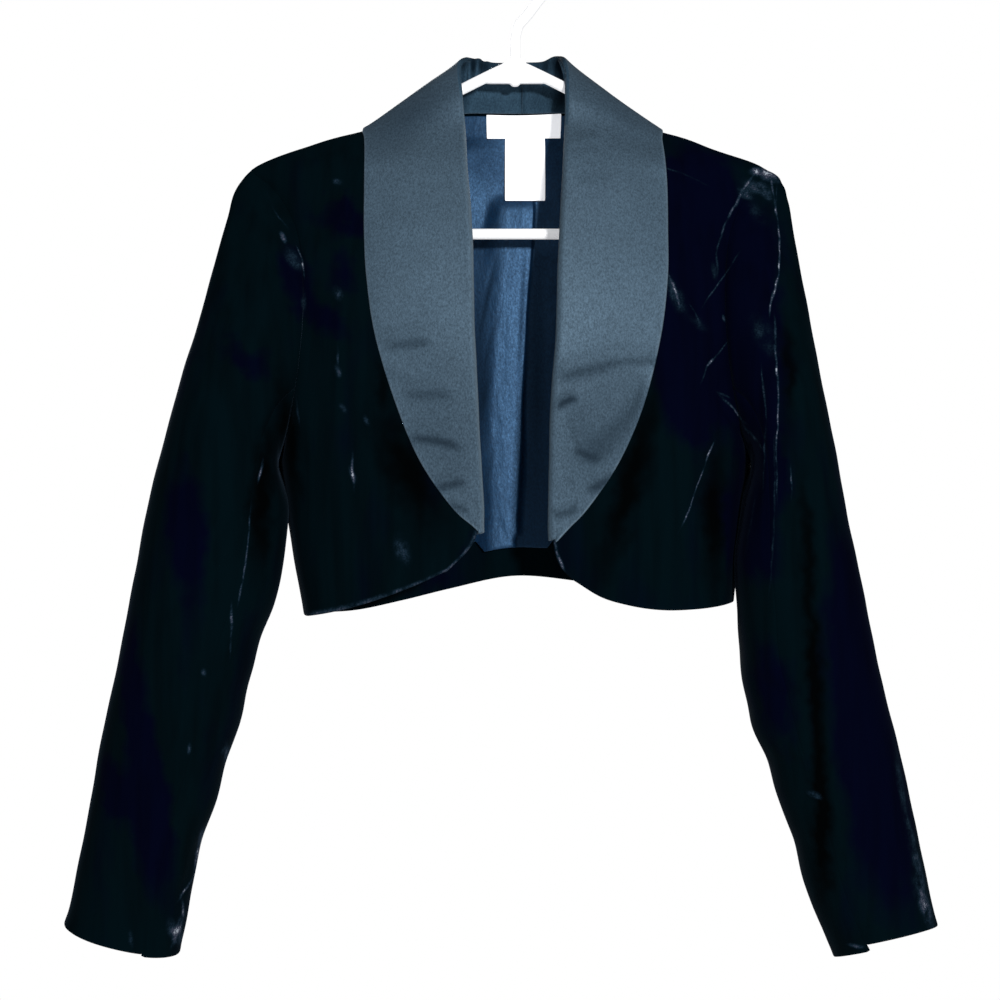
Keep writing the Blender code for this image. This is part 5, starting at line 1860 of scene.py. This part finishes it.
# The jacket's panels
for wearer, side, cloth in (("right", -1, velvet_right), ("left", 1, velvet_left)):
    both = (cloth, lining_satin)
    front(f"front_{wearer}", side, both)
    upper = (BACK_SEAM_TURN - 360, FRONT_SEAM_TURN)
    under = (FRONT_SEAM_TURN, BACK_SEAM_TURN)
    drop = UNDER_SLEEVE_DROP[side]
    sleeve_panel(f"upper_sleeve_{wearer}", side, *upper, 0.0, both)
    sleeve_panel(f"under_sleeve_{wearer}", side, *under, drop, both)
    collar(f"collar_{wearer}", side, (collar_satin, shaded_stand_satin))
back("back", (velvet_back,))
back_lining("back_lining", (lining_satin,))
tape_depth = LINING_INSIDE + LINING / 2 + TAPE_CLEAR + TAPE / 2
care_top = LABEL_TOP_Z - LABEL_HEIGHT - SEAM_GAP
for name, centre, width, top, height, hang in (
    ("neck_label", LABEL_X, LABEL_WIDTH, LABEL_TOP_Z, LABEL_HEIGHT, LABEL_HANG),
    ("care_label", CARE_X, CARE_WIDTH, care_top, CARE_HEIGHT, CARE_HANG),
):
    label(name, centre, width, top, height, tape_depth, hang, (tape,))
hanger("hanger", plastic)

# A plain pale floor, below the view of the photograph, with faint clouds
FLOOR_CLOUD = 120.0
bpy.ops.object.select_all(action="DESELECT")
bpy.ops.mesh.primitive_circle_add(
    vertices=96,
    radius=FLOOR_RADIUS * MM,
    fill_type="NGON",
    location=(0, 0, FLOOR_Z * MM),
)
floor = bpy.context.view_layer.objects.active
floor.name = "floor"
pale, pale_tree, pale_shader = look("pale matt floor", Roughness=0.9)
pale_place = add(pale_tree, "ShaderNodeTexCoord").outputs["Object"]
cloudy = add(
    pale_tree,
    "ShaderNodeTexNoise",
    {"Vector": pale_place, "Scale": per_mm(FLOOR_CLOUD), "Detail": 3},
)
pale_shade = add(pale_tree, "ShaderNodeValToRGB", {"Fac": cloudy})
pale_shade.color_ramp.elements[0].color = linear("#E2E2E0")
pale_shade.color_ramp.elements[1].color = linear("#EAEAE8")
pale_tree.links.new(pale_shade.outputs["Color"], pale_shader.inputs["Base Color"])
floor.data.materials.append(pale)


def light(name, place, power, size, aim):
    """A soft square studio light at a place in metres, turned to what it lights."""
    lamp = bpy.data.lights.new(name, "AREA")
    lamp.energy = power
    lamp.size = size
    made = bpy.data.objects.new(name, lamp)
    bpy.context.collection.objects.link(made)
    made.location = place
    made.rotation_euler = (Vector(aim) - Vector(place)).to_track_quat("-Z", "Y").to_euler()


# A small bright key from the front right, a broad weak fill, and a light for the back
MIDDLE = (0, 0, -0.35)
light("key", (0.52, -2.55, -0.12), 54, 0.15, MIDDLE)
light("fill", (-0.5, -2.3, 0.9), 8, 1.4, MIDDLE)
light("back", (-0.7, 2.4, 0.4), 52, 1.2, MIDDLE)

# White all round: bright to look at, dimmer as light
ROOM_LIGHT = 0.22
world = bpy.data.worlds.new("white room")
bpy.context.scene.world = world
world.use_nodes = True
room = world.node_tree
seen = add(room, "ShaderNodeLightPath").outputs["Is Camera Ray"]
glow = add(room, "ShaderNodeMapRange", {"Value": seen, "To Min": ROOM_LIGHT, "To Max": 1.0})
room.nodes["Background"].inputs["Color"].default_value = (1, 1, 1, 1)
room.links.new(glow.outputs[0], room.nodes["Background"].inputs["Strength"])
bpy.context.scene.view_settings.view_transform = "Standard"

lens = bpy.data.cameras.new("camera")
lens.lens = CAMERA_LENS
lens.sensor_width = SENSOR
lens.clip_start = 0.05
camera = bpy.data.objects.new("camera", lens)
camera.location = (CAMERA_X * MM, CAMERA_Y * MM, CAMERA_Z * MM)
camera.rotation_euler = (np.pi / 2, 0, 0)
bpy.context.collection.objects.link(camera)
bpy.context.scene.camera = camera

bpy.context.view_layer.update()
